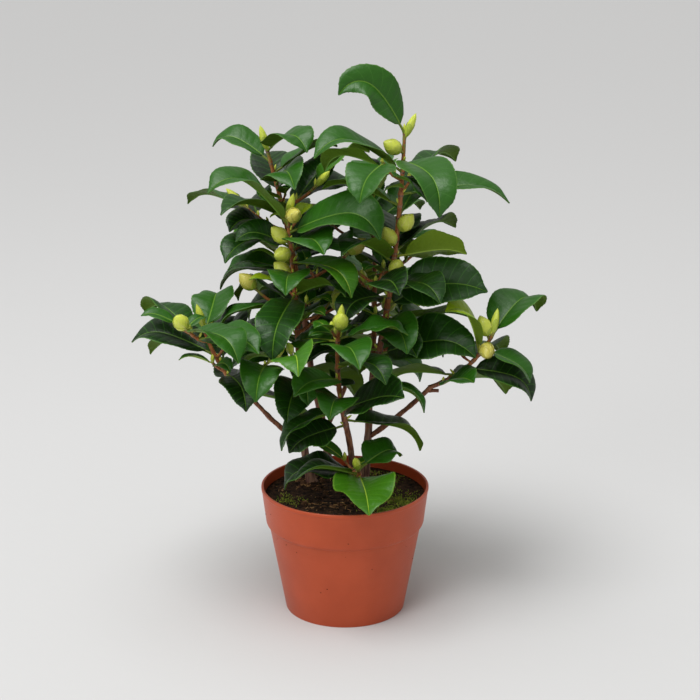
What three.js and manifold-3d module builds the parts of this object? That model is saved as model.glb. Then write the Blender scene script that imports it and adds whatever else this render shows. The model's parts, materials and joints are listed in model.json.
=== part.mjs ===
// A young camellia shrub in a 13 cm grower's pot: four rooted cuttings with upright leaders and low side
// boughs, glossy evergreen leaves in a spiral up every shoot, and fat flower buds in the leaf axils.
// Millimetres, +Z up, origin at the middle of the pot's flat underside. The shrub is seen from -Y.
import * as THREE from "three";
import { mergeVertices } from "three/addons/utils/BufferGeometryUtils.js";
import Module from "manifold-3d";

const wasm = await Module();
wasm.setup();

// The pot, a moulded collar over a tapering body
const RIM_RADIUS = 65;
const POT_HEIGHT = 100;
const COLLAR_HEIGHT = 28;
const COLLAR_TAPER = 3.5;
const STEP_DEPTH = 2.5;
const STEP_HEIGHT = 3.5;
const FOOT_RADIUS = 46.5;
const FOOT_ROUND = 2;
const POT_WALL = 1.4;
const FLOOR_THICKNESS = 1.8;
const DRAIN_RADIUS = 4.5;
const DRAIN_CIRCLE = 31;
const DRAIN_COUNT = 6;
const POT_SIDES = 40;
const DRAIN_SIDES = 8;

// The peat, filled to a little below the rim
const PEAT_BELOW_RIM = 8;
const PEAT_TOP = POT_HEIGHT - PEAT_BELOW_RIM;
const PEAT_SIDES = 32;

// The gap between one solid and the next
const GAP = 0.3;

// Leaves: a spiral up the shoot, and the size of an ordinary one
const SPIRAL_TURN = 137.5;
const LEAF_EVERY = 9;
const LEAF_LENGTH = 72;
const LEAF_WIDTH = 40;
const LEAF_THICKNESS = 1.1;
const PETIOLE_LENGTH = 8;
const PETIOLE_RADIUS = 1.1;
const FOLD = 16;
const TIP_HALF_WIDTH = 0.4;
const LEAF_STEPS = 24;
const LEAF_STATIONS = [0, 4, 9, 14, 19, 24];

// Leaves that follow the rule: angles in degrees at the foot of a shoot, what they gain up to its tip, and how
// far chance spreads them. Sizes are shares of the ordinary leaf.
const RISE_AT_FOOT = -6;
const RISE_GAIN = 42;
const RISE_SPREAD = 20;
const CURL_LEAST = 50;
const CURL_SPREAD = 45;
const SWEEP_SPREAD = 30;
const ROLL_SPREAD = 50;
const SIZE_SPREAD = 0.25;
const WIDTH_LEAST = 0.9;
const WIDTH_SPREAD = 0.25;
const NODE_OFFSET = 0.6;

// The bend along a leaf: an even curl, and the same again between these shares, which hooks the tip down
const HOOK_START = 0.5;
const HOOK_END = 0.95;

// How near a leaf may come to other leaves, to wood, to buds and to the pot
const LEAF_CLEARANCE = 4.6;
const WOOD_CLEARANCE = 5;
const BUD_CLEARANCE = 7.5;
const POINT_CLEARANCE = 5;
const POT_CLEARANCE = 4;
const OWN_REACH = 15;

// Buds, and the slim growing point that ends each shoot
const BUD_LENGTH = 17;
const BUD_RADIUS = 6.2;
const BUD_STALK = 3;
const POINT_LENGTH = 20;
const POINT_RADIUS = 3.2;
const POINT_STALK = 1;
const POINT_AT = 0.98;
const STALK_RADIUS = 1.2;
const BUD_SIDES = 6;

// How finely a curve is measured when distances are kept
const LIMB_POINTS = 16;
const LEADER_POINTS = 24;
const TWIG_POINTS = 8;
const LEAF_ACROSS = [-1, -0.5, 0, 0.5, 1];
const BUD_SHARES = [0.25, 0.5, 0.8];

// Stems stand on the peat. Each limb is one curve from its foot to its head, pushed sideways by its bow.
const STEMS = {
  stem_left: { foot: [-26, 24, PEAT_TOP], head: [-35, 18, 160], bow: [-2, 0, 0], radii: [3.3, 2.6] },
  stem_right: { foot: [15, 25, PEAT_TOP], head: [19, 18, 166], bow: [1, 1, 0], radii: [3.5, 2.7] },
  stem_front: { foot: [8, -12, PEAT_TOP], head: [2, -19, 150], bow: [1, 1, 0], radii: [2.9, 2.3] },
  stem_back: { foot: [-12, 42, PEAT_TOP], head: [-26, 52, 170], bow: [2, 0, 0], radii: [3.3, 2.6] },
};
const BOUGHS = {
  bough_right_low: {
    parent: "stem_right", at: 0.52, head: [66, 5, 178], bow: [0, 0, -2], radii: [2.1, 1.8], stub: [-12, 4],
  },
  bough_left_low: { parent: "stem_left", at: 0.5, head: [-70, -2, 170], bow: [0, 0, -3], radii: [2.1, 1.8] },
  bough_back_low: { parent: "stem_back", at: 0.45, head: [6, 84, 168], bow: [0, 0, -3], radii: [2.1, 1.8] },
};

// Masses of foliage. Each has one leader, which grows on from a limb's head or out of its side.
// bare is the share of the leader below its first leaf, twigs the number of side twigs. Above top only the
// leaves listed below grow. point is the lean of the growing point, where it isn't the leader's own.
const MASSES = {
  foliage_right_tall: {
    on: "stem_right", to: [44, 0, 376], bow: [4.5, -5, 0], bare: 0.12, top: 0.84, twigs: 5, point: [0, 66],
  },
  foliage_left_tall: {
    on: "stem_left", to: [-43, 0, 316], bow: [2, 0, 0], bare: 0.1, top: 0.88, twigs: 5, point: [-50, 68],
  },
  foliage_back_tall: { on: "stem_back", to: [-60, 52, 356], bow: [4, 3, 0], bare: 0.1, twigs: 6 },
  foliage_back_right: { on: "stem_right", at: 0.8, to: [20, 62, 322], bow: [4, 10, 0], bare: 0.25, twigs: 5 },
  foliage_right_low: {
    on: "bough_right_low", to: [112, -6, 224], bow: [4, 0, -5], bare: 0.1, top: 0.8, twigs: 2, point: [60, 66],
  },
  foliage_left_low: { on: "bough_left_low", to: [-106, -14, 232], bow: [-4, 0, -5], bare: 0.1, twigs: 3 },
  foliage_back_low: { on: "bough_back_low", to: [22, 104, 236], bow: [0, 5, -5], bare: 0.1, twigs: 3 },
  foliage_front: { on: "stem_front", to: [-4, -38, 240], bow: [-4, 3, 0], bare: 0.05, twigs: 4 },
  foliage_foot: { on: "stem_front", at: 0.3, to: [10, -40, 128], bow: [2, 0, -2], bare: 0.3, twigs: 0 },
};
const LEADER_RADII = [2.3, 1.3];
const TWIG_RADII = [1.4, 1.0];
const TWIG_LENGTH = 44;
const TWIG_SHORTEST = 0.8;
const TWIG_SPREAD = 0.4;
const TWIG_RISE = 30;
const TWIG_BOW = [0, 0, -3];
const TWIG_LOW = 0.18;
const TWIG_HIGH = 0.85;
const TWIG_BARE = 0.3;
const TWIG_FIRST_LEAF = 90;
const FLOWER_SHARE = 0.5;
const FLOWER_ROOM = 3;

// Stems swell at the foot, and a bough may keep the stub of a broken twig near its head
const STEM_FLARE = 1.8;
const FLARE_SHARE = 0.09;
const STUB_AT = 0.94;
const STUB_LENGTH = 9;
const STUB_RADII = [1.6, 1.3];

// The shares of its length at which each kind of stick has a ring, and its number of sides
const STEM_SHARES = [0, 0.05, 0.12, 0.25, 0.5, 0.75, 1];
const BOUGH_SHARES = [0, 0.25, 0.5, 0.75, 1];
const LEADER_SHARES = [0, 0.14, 0.28, 0.42, 0.56, 0.7, 0.85, 1];
const TWIG_SHARES = [0, 0.5, 1];
const LIMB_SIDES = 8;
const STUB_SIDES = 6;
const LEADER_SIDES = 5;
const TWIG_SIDES = 4;

// Leaves that the outline shows. along is the share of the leader, from its foot; azimuth turns from +X
// towards +Y; rise is the slope at the base, curl how far the leaf has bent down at its tip, in degrees.
const SEEN_LEAVES = [
  { mass: "foliage_right_tall", along: 1.0, azimuth: 196, rise: 62, curl: 120, roll: 24, length: 76, width: 32 },
  { mass: "foliage_right_tall", along: 0.86, azimuth: 208, rise: 38, curl: 92, roll: 12, length: 86, width: 36 },
  { mass: "foliage_right_tall", along: 0.9, azimuth: -68, rise: 4, curl: 106, roll: 0, length: 84, width: 40 },
  { mass: "foliage_right_tall", along: 0.78, azimuth: 4, rise: 10, curl: 56, roll: -8, length: 86, width: 36 },
  { mass: "foliage_right_tall", along: 0.55, azimuth: 6, rise: 10, curl: 34, roll: 44, length: 56, width: 40 },
  { mass: "foliage_right_tall", along: 0.42, azimuth: -12, rise: 12, curl: 34, roll: -42, length: 76, width: 46 },
  { mass: "foliage_right_tall", along: 0.3, azimuth: 24, rise: 4, curl: 30, roll: 20, length: 76, width: 36 },
  { mass: "foliage_right_tall", along: 0.17, azimuth: -22, rise: 23, curl: 66, roll: -34, length: 84, width: 46 },
  { mass: "foliage_right_low", along: 0.95, azimuth: 42, rise: 44, curl: 125, roll: 0, length: 66, width: 42 },
  { mass: "foliage_right_low", along: 0.78, azimuth: -36, rise: -8, curl: 60, roll: 0, length: 46, width: 32 },
  { mass: "foliage_right_low", along: 0.72, azimuth: 224, rise: 66, curl: 96, roll: 20, length: 56, width: 34 },
  { mass: "foliage_right_low", along: 0.14, azimuth: -42, rise: 24, curl: 30, roll: -20, length: 46, width: 30 },
  { mass: "foliage_left_tall", along: 0.9, azimuth: -28, rise: 28, curl: 96, roll: -26, length: 88, width: 46 },
  { mass: "foliage_left_tall", along: 0.75, azimuth: -42, rise: 8, curl: 88, roll: 0, length: 70, width: 34 },
  { mass: "foliage_left_tall", along: 0.94, azimuth: 208, rise: 52, curl: 100, roll: 10, length: 84, width: 42 },
  { mass: "foliage_left_tall", along: 0.58, azimuth: -106, rise: -10, curl: 84, roll: 0, length: 74, width: 36 },
  { mass: "foliage_front", along: 0.85, azimuth: 138, rise: -6, curl: 44, roll: 20, length: 52, width: 36 },
  { mass: "foliage_front", along: 0.6, azimuth: -50, rise: 24, curl: 88, roll: 0, length: 62, width: 34 },
  { mass: "foliage_front", along: 0.2, azimuth: -44, rise: 28, curl: 24, roll: -30, length: 68, width: 48 },
  { mass: "foliage_front", along: 0.06, azimuth: 200, rise: -8, curl: 44, roll: 20, length: 50, width: 38 },
  { mass: "foliage_foot", along: 0.6, azimuth: -84, rise: 6, curl: 40, roll: 0, length: 68, width: 48 },
  { mass: "foliage_foot", along: 0.95, azimuth: 30, rise: 30, curl: 90, roll: -10, length: 42, width: 34 },
];

// Flower buds that the outline shows, with the same angles
const SEEN_BUDS = [
  { mass: "foliage_right_tall", along: 0.93, azimuth: -150, rise: 30 },
  { mass: "foliage_right_tall", along: 0.64, azimuth: -24, rise: 50 },
  { mass: "foliage_right_tall", along: 0.58, azimuth: 205, rise: 62 },
  { mass: "foliage_right_tall", along: 0.47, azimuth: -56, rise: 56 },
  { mass: "foliage_right_low", along: 0.88, azimuth: -112, rise: -16 },
  { mass: "foliage_right_low", along: 0.92, azimuth: 150, rise: 64 },
  { mass: "foliage_left_tall", along: 0.97, azimuth: -62, rise: 26 },
  { mass: "foliage_left_tall", along: 0.84, azimuth: 184, rise: 44 },
  { mass: "foliage_left_tall", along: 0.8, azimuth: -126, rise: 4 },
  { mass: "foliage_left_tall", along: 0.66, azimuth: 170, rise: 40 },
  { mass: "foliage_front", along: 0.96, azimuth: -80, rise: 50 },
];

const radians = THREE.MathUtils.degToRad;

// One number from 0 to 1 for a shoot, an item on it and a use
function chance(shoot, item, use) {
  const x = Math.sin(shoot * 12.9898 + item * 78.233 + use * 37.719) * 43758.5453;
  return x - Math.floor(x);
}

function direction(azimuth, rise) {
  const a = radians(azimuth);
  const r = radians(rise);
  return new THREE.Vector3(Math.cos(r) * Math.cos(a), Math.cos(r) * Math.sin(a), Math.sin(r));
}

function smoothstep(low, high, x) {
  const t = Math.min(1, Math.max(0, (x - low) / (high - low)));
  return t * t * (3 - 2 * t);
}

// The curve of a limb or leader: straight from foot to head, with its middle pushed out by the bow
function limbCurve(foot, head, bow) {
  const a = new THREE.Vector3(...foot);
  const b = new THREE.Vector3(...head);
  const middle = a.clone().add(b).multiplyScalar(0.5).addScaledVector(new THREE.Vector3(...bow), 2);
  return new THREE.QuadraticBezierCurve3(a, middle, b);
}

function solidFrom(geometry) {
  const bare = new THREE.BufferGeometry();
  bare.setAttribute("position", geometry.getAttribute("position").clone());
  bare.setIndex(geometry.index);
  const merged = mergeVertices(bare, 1e-4);
  return new wasm.Manifold(
    new wasm.Mesh({
      numProp: 3,
      vertProperties: merged.attributes.position.array,
      triVerts: new Uint32Array(merged.index.array),
    }),
  );
}

function geometryFrom(solid) {
  const mesh = solid.getMesh();
  const geometry = new THREE.BufferGeometry();
  geometry.setAttribute("position", new THREE.BufferAttribute(new Float32Array(mesh.vertProperties), 3));
  geometry.setIndex(new THREE.BufferAttribute(new Uint32Array(mesh.triVerts), 1));
  const flat = geometry.toNonIndexed();
  flat.computeVertexNormals();
  return flat;
}

// A round stick along a curve, thinner towards its head. Its foot is cut square to footUp, or to the curve.
function stick(curve, radii, sides, shares, { grow = 0, flare = 0, footUp = null } = {}) {
  const steps = shares.length - 1;
  const geometry = new THREE.CylinderGeometry(1, 1, 1, sides, steps);
  const place = geometry.getAttribute("position");
  for (let i = 0; i < place.count; i++) {
    const station = Math.round((place.getY(i) + 0.5) * steps);
    const along = shares[station];
    const centre = curve.getPoint(along);
    const forward = station === 0 && footUp ? footUp.clone() : curve.getTangent(along);
    const side = new THREE.Vector3(0, 1, 0).cross(forward).normalize();
    const across = side.clone().cross(forward);
    const swell = flare * Math.exp(-along / FLARE_SHARE);
    const radius = THREE.MathUtils.lerp(radii[0], radii[1], along) + swell + grow;
    centre.addScaledVector(side, radius * place.getX(i));
    centre.addScaledVector(across, radius * place.getZ(i));
    place.setXYZ(i, centre.x, centre.y, centre.z);
  }
  return solidFrom(geometry);
}

// The width of a blade at a share of its length: widest a little below the middle, drawn out to a point
function bladeShape(share) {
  return Math.pow(Math.max(0, Math.sin(Math.PI * Math.pow(share, 0.8))), 0.7);
}

// A leaf's midrib, in equal steps from the shoot's axis. Each step has its place, its sideways and upward
// directions and the blade's half width there.
function leafFrames(leaf) {
  const frames = [];
  const at = leaf.base.clone();
  const step = leaf.length / LEAF_STEPS;
  for (let i = 0; i <= LEAF_STEPS; i++) {
    const share = i / LEAF_STEPS;
    const bend = 0.5 * share * share + 0.5 * smoothstep(HOOK_START, HOOK_END, share);
    const forward = direction(leaf.azimuth + leaf.sweep * share, leaf.rise - leaf.curl * bend);
    const a = radians(leaf.azimuth + leaf.sweep * share);
    const level = new THREE.Vector3(Math.sin(a), -Math.cos(a), 0);
    const above = level.clone().cross(forward);
    const roll = radians(leaf.roll);
    const side = level.clone().multiplyScalar(Math.cos(roll)).addScaledVector(above, Math.sin(roll));
    const up = above.clone().multiplyScalar(Math.cos(roll)).addScaledVector(level, -Math.sin(roll));
    const blade = (share * leaf.length - PETIOLE_LENGTH) / (leaf.length - PETIOLE_LENGTH);
    const half = Math.max(PETIOLE_RADIUS, 0.5 * leaf.width * bladeShape(Math.max(0, blade)));
    frames.push({ at: at.clone(), side, up, half: i === LEAF_STEPS ? TIP_HALF_WIDTH : half, blade });
    at.addScaledVector(forward, step);
  }
  return frames;
}

// A point on the blade: across runs from -1 at one edge to 1 at the other, with the halves folded up
function onBlade(frame, across) {
  const fold = radians(FOLD);
  return frame.at
    .clone()
    .addScaledVector(frame.side, across * frame.half * Math.cos(fold))
    .addScaledVector(frame.up, Math.abs(across) * frame.half * Math.sin(fold));
}

// The points that stand for a leaf when its distance from others is measured
function leafPoints(leaf) {
  const points = [];
  leafFrames(leaf).forEach((frame, i) => {
    if (i === 0 || i % 2 !== 0) return;
    for (const across of frame.blade < 0.05 ? [0] : LEAF_ACROSS) points.push(onBlade(frame, across));
  });
  return points;
}

// A leaf as a thin solid, four-sided across and drawn to a point at both ends
function leafSolid(leaf) {
  const frames = leafFrames(leaf);
  const last = LEAF_STATIONS.length - 1;
  const geometry = new THREE.CylinderGeometry(1, 1, 1, 4, last, true);
  const place = geometry.getAttribute("position");
  for (let i = 0; i < place.count; i++) {
    const station = Math.round((place.getY(i) + 0.5) * last);
    const frame = frames[LEAF_STATIONS[station]];
    const thick = frame.blade <= 0 ? PETIOLE_RADIUS : LEAF_THICKNESS / 2;
    const point = onBlade(frame, place.getX(i)).addScaledVector(frame.up, thick * place.getZ(i));
    const end = station === 0 || station === last;
    if (end) point.copy(frame.at);
    place.setXYZ(i, point.x, point.y, point.z);
  }
  return solidFrom(geometry);
}

// A bud: egg-shaped with a point, on a short stalk that starts in the shoot's axis
function budSolid(bud) {
  const { radius, length, stalk } = bud;
  const profile = [
    [0, 0],
    [STALK_RADIUS, stalk],
    [radius * 0.9, stalk + length * 0.24],
    [radius, stalk + length * 0.5],
    [radius * 0.6, stalk + length * 0.82],
    [0, stalk + length],
  ].map(([x, y]) => new THREE.Vector2(x, y));
  const geometry = new THREE.LatheGeometry(profile, BUD_SIDES);
  const turn = new THREE.Quaternion().setFromUnitVectors(
    new THREE.Vector3(0, 1, 0),
    direction(bud.azimuth, bud.rise),
  );
  geometry.applyQuaternion(turn);
  geometry.translate(bud.base.x, bud.base.y, bud.base.z);
  return solidFrom(geometry);
}

// The points that stand for a bud, low, middle and high in it
function budPoints(bud) {
  const forward = direction(bud.azimuth, bud.rise);
  return BUD_SHARES.map((share) => bud.base.clone().addScaledVector(forward, bud.stalk + bud.length * share));
}

// Limbs as curves: stems, then the boughs on them
const limbs = {};
for (const [name, s] of Object.entries(STEMS)) {
  const foot = [s.foot[0], s.foot[1], s.foot[2] + GAP];
  limbs[name] = { curve: limbCurve(foot, s.head, s.bow), radii: s.radii };
}
for (const [name, b] of Object.entries(BOUGHS)) {
  const foot = limbs[b.parent].curve.getPoint(b.at).toArray();
  limbs[name] = { curve: limbCurve(foot, b.head, b.bow), radii: b.radii, parent: b.parent, stub: b.stub };
}

// Everything that a leaf keeps clear of, as groups of points with the distance to keep
const taken = [];
function take(points, distance, owner) {
  const box = new THREE.Box3().setFromPoints(points).expandByScalar(distance);
  taken.push({ points, distance, owner, box });
}

// True when no point comes too near anything taken. Close to its base, a piece may be near the shoot that it
// grows from.
function isClear(points, base, shoot, extra = 0) {
  for (const p of points) {
    const overPot = Math.hypot(p.x, p.y) < RIM_RADIUS + POT_CLEARANCE;
    if (overPot && p.z < POT_HEIGHT + POT_CLEARANCE) return false;
  }
  const box = new THREE.Box3().setFromPoints(points).expandByScalar(extra);
  const away = points.filter((p) => p.distanceTo(base) > OWN_REACH);
  return taken.every((group) => {
    if (!group.box.intersectsBox(box)) return true;
    const others = group.owner === shoot ? away : points;
    return group.points.every((q) => others.every((p) => p.distanceTo(q) >= group.distance + extra));
  });
}

for (const limb of Object.values(limbs)) take(limb.curve.getPoints(LIMB_POINTS), WOOD_CLEARANCE, limb);

// Shoots: each mass's leader first, then the side twigs
const shoots = [];
for (const [name, m] of Object.entries(MASSES)) {
  const on = limbs[m.on];
  const beside = m.at !== undefined;
  const root = on.curve.getPoint(beside ? m.at : 1);
  if (!beside) root.addScaledVector(on.curve.getTangent(1), GAP);
  const leader = {
    mass: name,
    leader: true,
    curve: limbCurve(root.toArray(), m.to, m.bow),
    radii: LEADER_RADII,
    bare: m.bare,
    top: m.top ?? 1,
    first: 360 * chance(shoots.length, 0, 1),
    twigs: m.twigs,
    point: m.point,
  };
  shoots.push(leader);
  take(leader.curve.getPoints(LEADER_POINTS), WOOD_CLEARANCE, leader);
}
const leaderOf = (mass) => shoots.find((shoot) => shoot.mass === mass);

// Buds that show, then leaves that show
const buds = [];
function keepBud(bud) {
  buds.push(bud);
  take(budPoints(bud), bud.radius === BUD_RADIUS ? BUD_CLEARANCE : POINT_CLEARANCE, bud);
}
for (const b of SEEN_BUDS) {
  const shoot = leaderOf(b.mass);
  const base = shoot.curve.getPoint(b.along);
  keepBud({ ...b, base, length: BUD_LENGTH, radius: BUD_RADIUS, stalk: BUD_STALK });
}
const leaves = [];
function keepLeaf(leaf) {
  leaves.push(leaf);
  take(leafPoints(leaf), LEAF_CLEARANCE, leaf);
}
for (const s of SEEN_LEAVES) {
  const shoot = leaderOf(s.mass);
  keepLeaf({ sweep: 0, ...s, base: shoot.curve.getPoint(s.along) });
}

// Twigs turn round their leader. One that meets something turns a little, or is left out.
const TWIG_TURNS = [0, 25, -25, 50, -50, 75, -75];
shoots.slice().forEach((leader, number) => {
  for (let t = 0; t < leader.twigs; t++) {
    const along = TWIG_LOW + ((TWIG_HIGH - TWIG_LOW) * (t + chance(number, t, 2))) / leader.twigs;
    const azimuth = leader.first + t * SPIRAL_TURN;
    const foot = leader.curve.getPoint(along);
    const length = TWIG_LENGTH * (TWIG_SHORTEST + TWIG_SPREAD * chance(number, t, 3));
    for (const turn of TWIG_TURNS) {
      const head = foot.clone().addScaledVector(direction(azimuth + turn, TWIG_RISE), length);
      const curve = limbCurve(foot.toArray(), head.toArray(), TWIG_BOW);
      const points = curve.getPoints(TWIG_POINTS);
      if (!isClear(points, foot, leader)) continue;
      const twig = {
        mass: leader.mass,
        leader: false,
        curve,
        radii: TWIG_RADII,
        bare: TWIG_BARE,
        top: 1,
        first: azimuth + TWIG_FIRST_LEAF,
      };
      shoots.push(twig);
      take(points, WOOD_CLEARANCE, twig);
      break;
    }
  }
});

// Every shoot ends in a slim growing point, or some of the twigs in a flower bud, where there is room
shoots.forEach((shoot, number) => {
  const end = shoot.curve.getTangent(1);
  const flower = !shoot.leader && chance(number, 0, 4) < FLOWER_SHARE;
  const bud = {
    mass: shoot.mass,
    base: shoot.curve.getPoint(POINT_AT),
    azimuth: shoot.point ? shoot.point[0] : THREE.MathUtils.radToDeg(Math.atan2(end.y, end.x)),
    rise: shoot.point ? shoot.point[1] : THREE.MathUtils.radToDeg(Math.asin(end.z)),
    length: flower ? BUD_LENGTH : POINT_LENGTH,
    radius: flower ? BUD_RADIUS : POINT_RADIUS,
    stalk: POINT_STALK,
  };
  if (shoot.leader || isClear(budPoints(bud), bud.base, shoot, flower ? FLOWER_ROOM : 0)) keepBud(bud);
});

// The rest of the leaves follow the spiral. A leaf that meets something is tried smaller, turned or tilted,
// and is left out if none of that helps.
const SIZES = [1, 0.76];
const TURNS = [0, 16, -16, 32, -32, 48, -48, 64, -64];
const TILTS = [0, 16, -14, 30];
function grow(leaf) {
  const { azimuth, rise, length, width } = leaf;
  for (const size of SIZES) {
    for (const tilt of TILTS) {
      for (const turn of TURNS) {
        const turned = { azimuth: azimuth + turn, rise: rise + tilt };
        const tried = { ...leaf, ...turned, length: length * size, width: width * size };
        if (isClear(leafPoints(tried), leaf.base, leaf.shoot)) return keepLeaf(tried);
      }
    }
  }
}
shoots.forEach((shoot, number) => {
  const share = shoot.top - shoot.bare;
  const count = Math.round((shoot.curve.getLength() * share) / LEAF_EVERY);
  for (let i = count - 1; i >= 0; i--) {
    const along = shoot.bare + (share * (i + NODE_OFFSET)) / count;
    const size = 1 - SIZE_SPREAD * chance(number, i, 5);
    grow({
      mass: shoot.mass,
      shoot,
      base: shoot.curve.getPoint(along),
      azimuth: shoot.first + i * SPIRAL_TURN,
      sweep: SWEEP_SPREAD * (chance(number, i, 6) - 0.5),
      rise: RISE_AT_FOOT + RISE_GAIN * along + RISE_SPREAD * (chance(number, i, 10) - 0.5),
      curl: CURL_LEAST + CURL_SPREAD * chance(number, i, 9),
      roll: ROLL_SPREAD * (chance(number, i, 7) - 0.5),
      length: LEAF_LENGTH * size,
      width: LEAF_WIDTH * size * (WIDTH_LEAST + WIDTH_SPREAD * chance(number, i, 8)),
    });
  }
});

function turned(profile, sides) {
  const points = profile.map(([x, y]) => new THREE.Vector2(x, y));
  return solidFrom(new THREE.LatheGeometry(points, sides).rotateX(Math.PI / 2));
}

// The pot: a closed profile turned round, with drain holes through its floor
function potProfile(inset) {
  const stepTop = POT_HEIGHT - COLLAR_HEIGHT;
  const bodyTop = RIM_RADIUS - COLLAR_TAPER - STEP_DEPTH;
  return [
    [FOOT_RADIUS - FOOT_ROUND - inset, 0],
    [FOOT_RADIUS - inset, FOOT_ROUND],
    [bodyTop - inset, stepTop - STEP_HEIGHT],
    [bodyTop + STEP_DEPTH * 0.7 - inset, stepTop - STEP_HEIGHT * 0.45],
    [RIM_RADIUS - COLLAR_TAPER - inset, stepTop],
    [RIM_RADIUS - inset, POT_HEIGHT],
  ];
}

function makePot() {
  const outside = potProfile(0);
  const inside = potProfile(POT_WALL).slice(1).reverse();
  inside[inside.length - 1][1] = FLOOR_THICKNESS;
  const profile = [[0, 0], ...outside, ...inside, [0, FLOOR_THICKNESS]];
  let pot = turned(profile, POT_SIDES);
  for (let i = 0; i < DRAIN_COUNT; i++) {
    const a = (2 * Math.PI * (i + 0.5)) / DRAIN_COUNT;
    const drill = new THREE.CylinderGeometry(DRAIN_RADIUS, DRAIN_RADIUS, 4 * FLOOR_THICKNESS, DRAIN_SIDES);
    drill.rotateX(Math.PI / 2).translate(DRAIN_CIRCLE * Math.cos(a), DRAIN_CIRCLE * Math.sin(a), 0);
    pot = pot.subtract(solidFrom(drill));
  }
  return pot;
}

// The peat fills the pot with the gap all round, and has a flat top
function makePeat() {
  const wall = potProfile(POT_WALL + GAP).filter(([, z]) => z > FOOT_ROUND - 0.01 && z < PEAT_TOP);
  const rimShare = (PEAT_TOP - (POT_HEIGHT - COLLAR_HEIGHT)) / COLLAR_HEIGHT;
  const topRadius = RIM_RADIUS - COLLAR_TAPER * (1 - rimShare) - POT_WALL - GAP;
  wall[0][1] = FLOOR_THICKNESS + GAP;
  const profile = [[0, FLOOR_THICKNESS + GAP], ...wall, [topRadius, PEAT_TOP], [0, PEAT_TOP]];
  return turned(profile, PEAT_SIDES);
}

// grow adds a gap all round, for cutting a solid that grows out of this limb's side
function makeLimb(name, grow = 0) {
  const limb = limbs[name];
  const stem = limb.parent === undefined;
  const shape = stem ? { grow, flare: STEM_FLARE, footUp: new THREE.Vector3(0, 0, 1) } : { grow };
  let solid = stick(limb.curve, limb.radii, LIMB_SIDES, stem ? STEM_SHARES : BOUGH_SHARES, shape);
  if (limb.stub) {
    const foot = limb.curve.getPoint(STUB_AT);
    const head = foot.clone().addScaledVector(direction(...limb.stub), STUB_LENGTH);
    solid = solid.add(stick(new THREE.LineCurve3(foot, head), STUB_RADII, STUB_SIDES, [0, 1]));
  }
  return stem || grow > 0 ? solid : solid.subtract(makeLimb(limb.parent, GAP));
}

function makeMass(name) {
  const { on, at } = MASSES[name];
  let solid = null;
  const join = (piece) => {
    solid = solid ? solid.add(piece) : piece;
  };
  for (const shoot of shoots) {
    if (shoot.mass !== name) continue;
    const footUp = shoot.leader && at === undefined ? limbs[on].curve.getTangent(1) : null;
    const sides = shoot.leader ? LEADER_SIDES : TWIG_SIDES;
    join(stick(shoot.curve, shoot.radii, sides, shoot.leader ? LEADER_SHARES : TWIG_SHARES, { footUp }));
  }
  for (const bud of buds) if (bud.mass === name) join(budSolid(bud));
  for (const leaf of leaves) if (leaf.mass === name) join(leafSolid(leaf));
  return at === undefined ? solid : solid.subtract(makeLimb(on, GAP));
}

const potPlastic = new THREE.MeshStandardMaterial({ color: 0xb4552f, roughness: 0.5, metalness: 0 });
const peat = new THREE.MeshStandardMaterial({ color: 0x2a1c14, roughness: 0.95, metalness: 0 });
const bark = new THREE.MeshStandardMaterial({ color: 0x7a4a2c, roughness: 0.8, metalness: 0 });
const leafGreen = new THREE.MeshStandardMaterial({ color: 0x2c5a1c, roughness: 0.35, metalness: 0 });

const shrub = new THREE.Group();
function add(name, solid, material) {
  const mesh = new THREE.Mesh(geometryFrom(solid), material);
  mesh.name = name;
  shrub.add(mesh);
}
add("pot", makePot(), potPlastic);
add("peat", makePeat(), peat);
for (const name of Object.keys(limbs)) add(name, makeLimb(name), bark);
for (const name of Object.keys(MASSES)) add(name, makeMass(name), leafGreen);

export default shrub;
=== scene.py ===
# %% [markdown]
# # A camellia shrub in its grower's pot
# The frame comes first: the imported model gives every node's place and size. What this lesson makes is fitted
# round it, in metres, and never moves it. Lengths below are written in millimetres and turned into metres
# where a mesh is made.

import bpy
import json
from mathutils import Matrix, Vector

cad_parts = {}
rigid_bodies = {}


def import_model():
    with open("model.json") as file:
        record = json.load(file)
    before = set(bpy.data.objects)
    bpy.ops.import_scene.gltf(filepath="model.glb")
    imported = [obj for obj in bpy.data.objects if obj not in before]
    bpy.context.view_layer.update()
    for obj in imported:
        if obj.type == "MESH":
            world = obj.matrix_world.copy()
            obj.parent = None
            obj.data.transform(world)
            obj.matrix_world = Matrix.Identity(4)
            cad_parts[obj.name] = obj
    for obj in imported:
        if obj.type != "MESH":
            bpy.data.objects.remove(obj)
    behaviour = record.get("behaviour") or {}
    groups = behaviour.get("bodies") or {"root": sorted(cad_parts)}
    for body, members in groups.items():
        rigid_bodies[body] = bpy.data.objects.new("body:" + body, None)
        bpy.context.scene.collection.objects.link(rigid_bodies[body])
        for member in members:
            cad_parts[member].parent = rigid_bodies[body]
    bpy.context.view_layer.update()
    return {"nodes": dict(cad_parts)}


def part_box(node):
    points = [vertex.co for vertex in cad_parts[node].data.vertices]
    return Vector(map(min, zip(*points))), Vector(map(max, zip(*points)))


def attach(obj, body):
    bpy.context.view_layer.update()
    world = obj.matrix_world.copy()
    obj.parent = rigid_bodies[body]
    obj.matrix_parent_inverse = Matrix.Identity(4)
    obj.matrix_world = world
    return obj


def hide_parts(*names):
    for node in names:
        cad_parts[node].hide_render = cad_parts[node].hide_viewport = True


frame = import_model()
print("frame nodes:", len(frame["nodes"]))

# %% Libraries and units
import json
import math

import bpy
import numpy as np
from mathutils import Vector, noise

MM = 0.001

# %% [markdown]
# ## Working by hand, in code
# Operators act on everything that is selected, and the loaded nodes come in selected. So each piece starts
# with nothing selected, and is left alone and selected at its end, with its place in its mesh.


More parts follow.
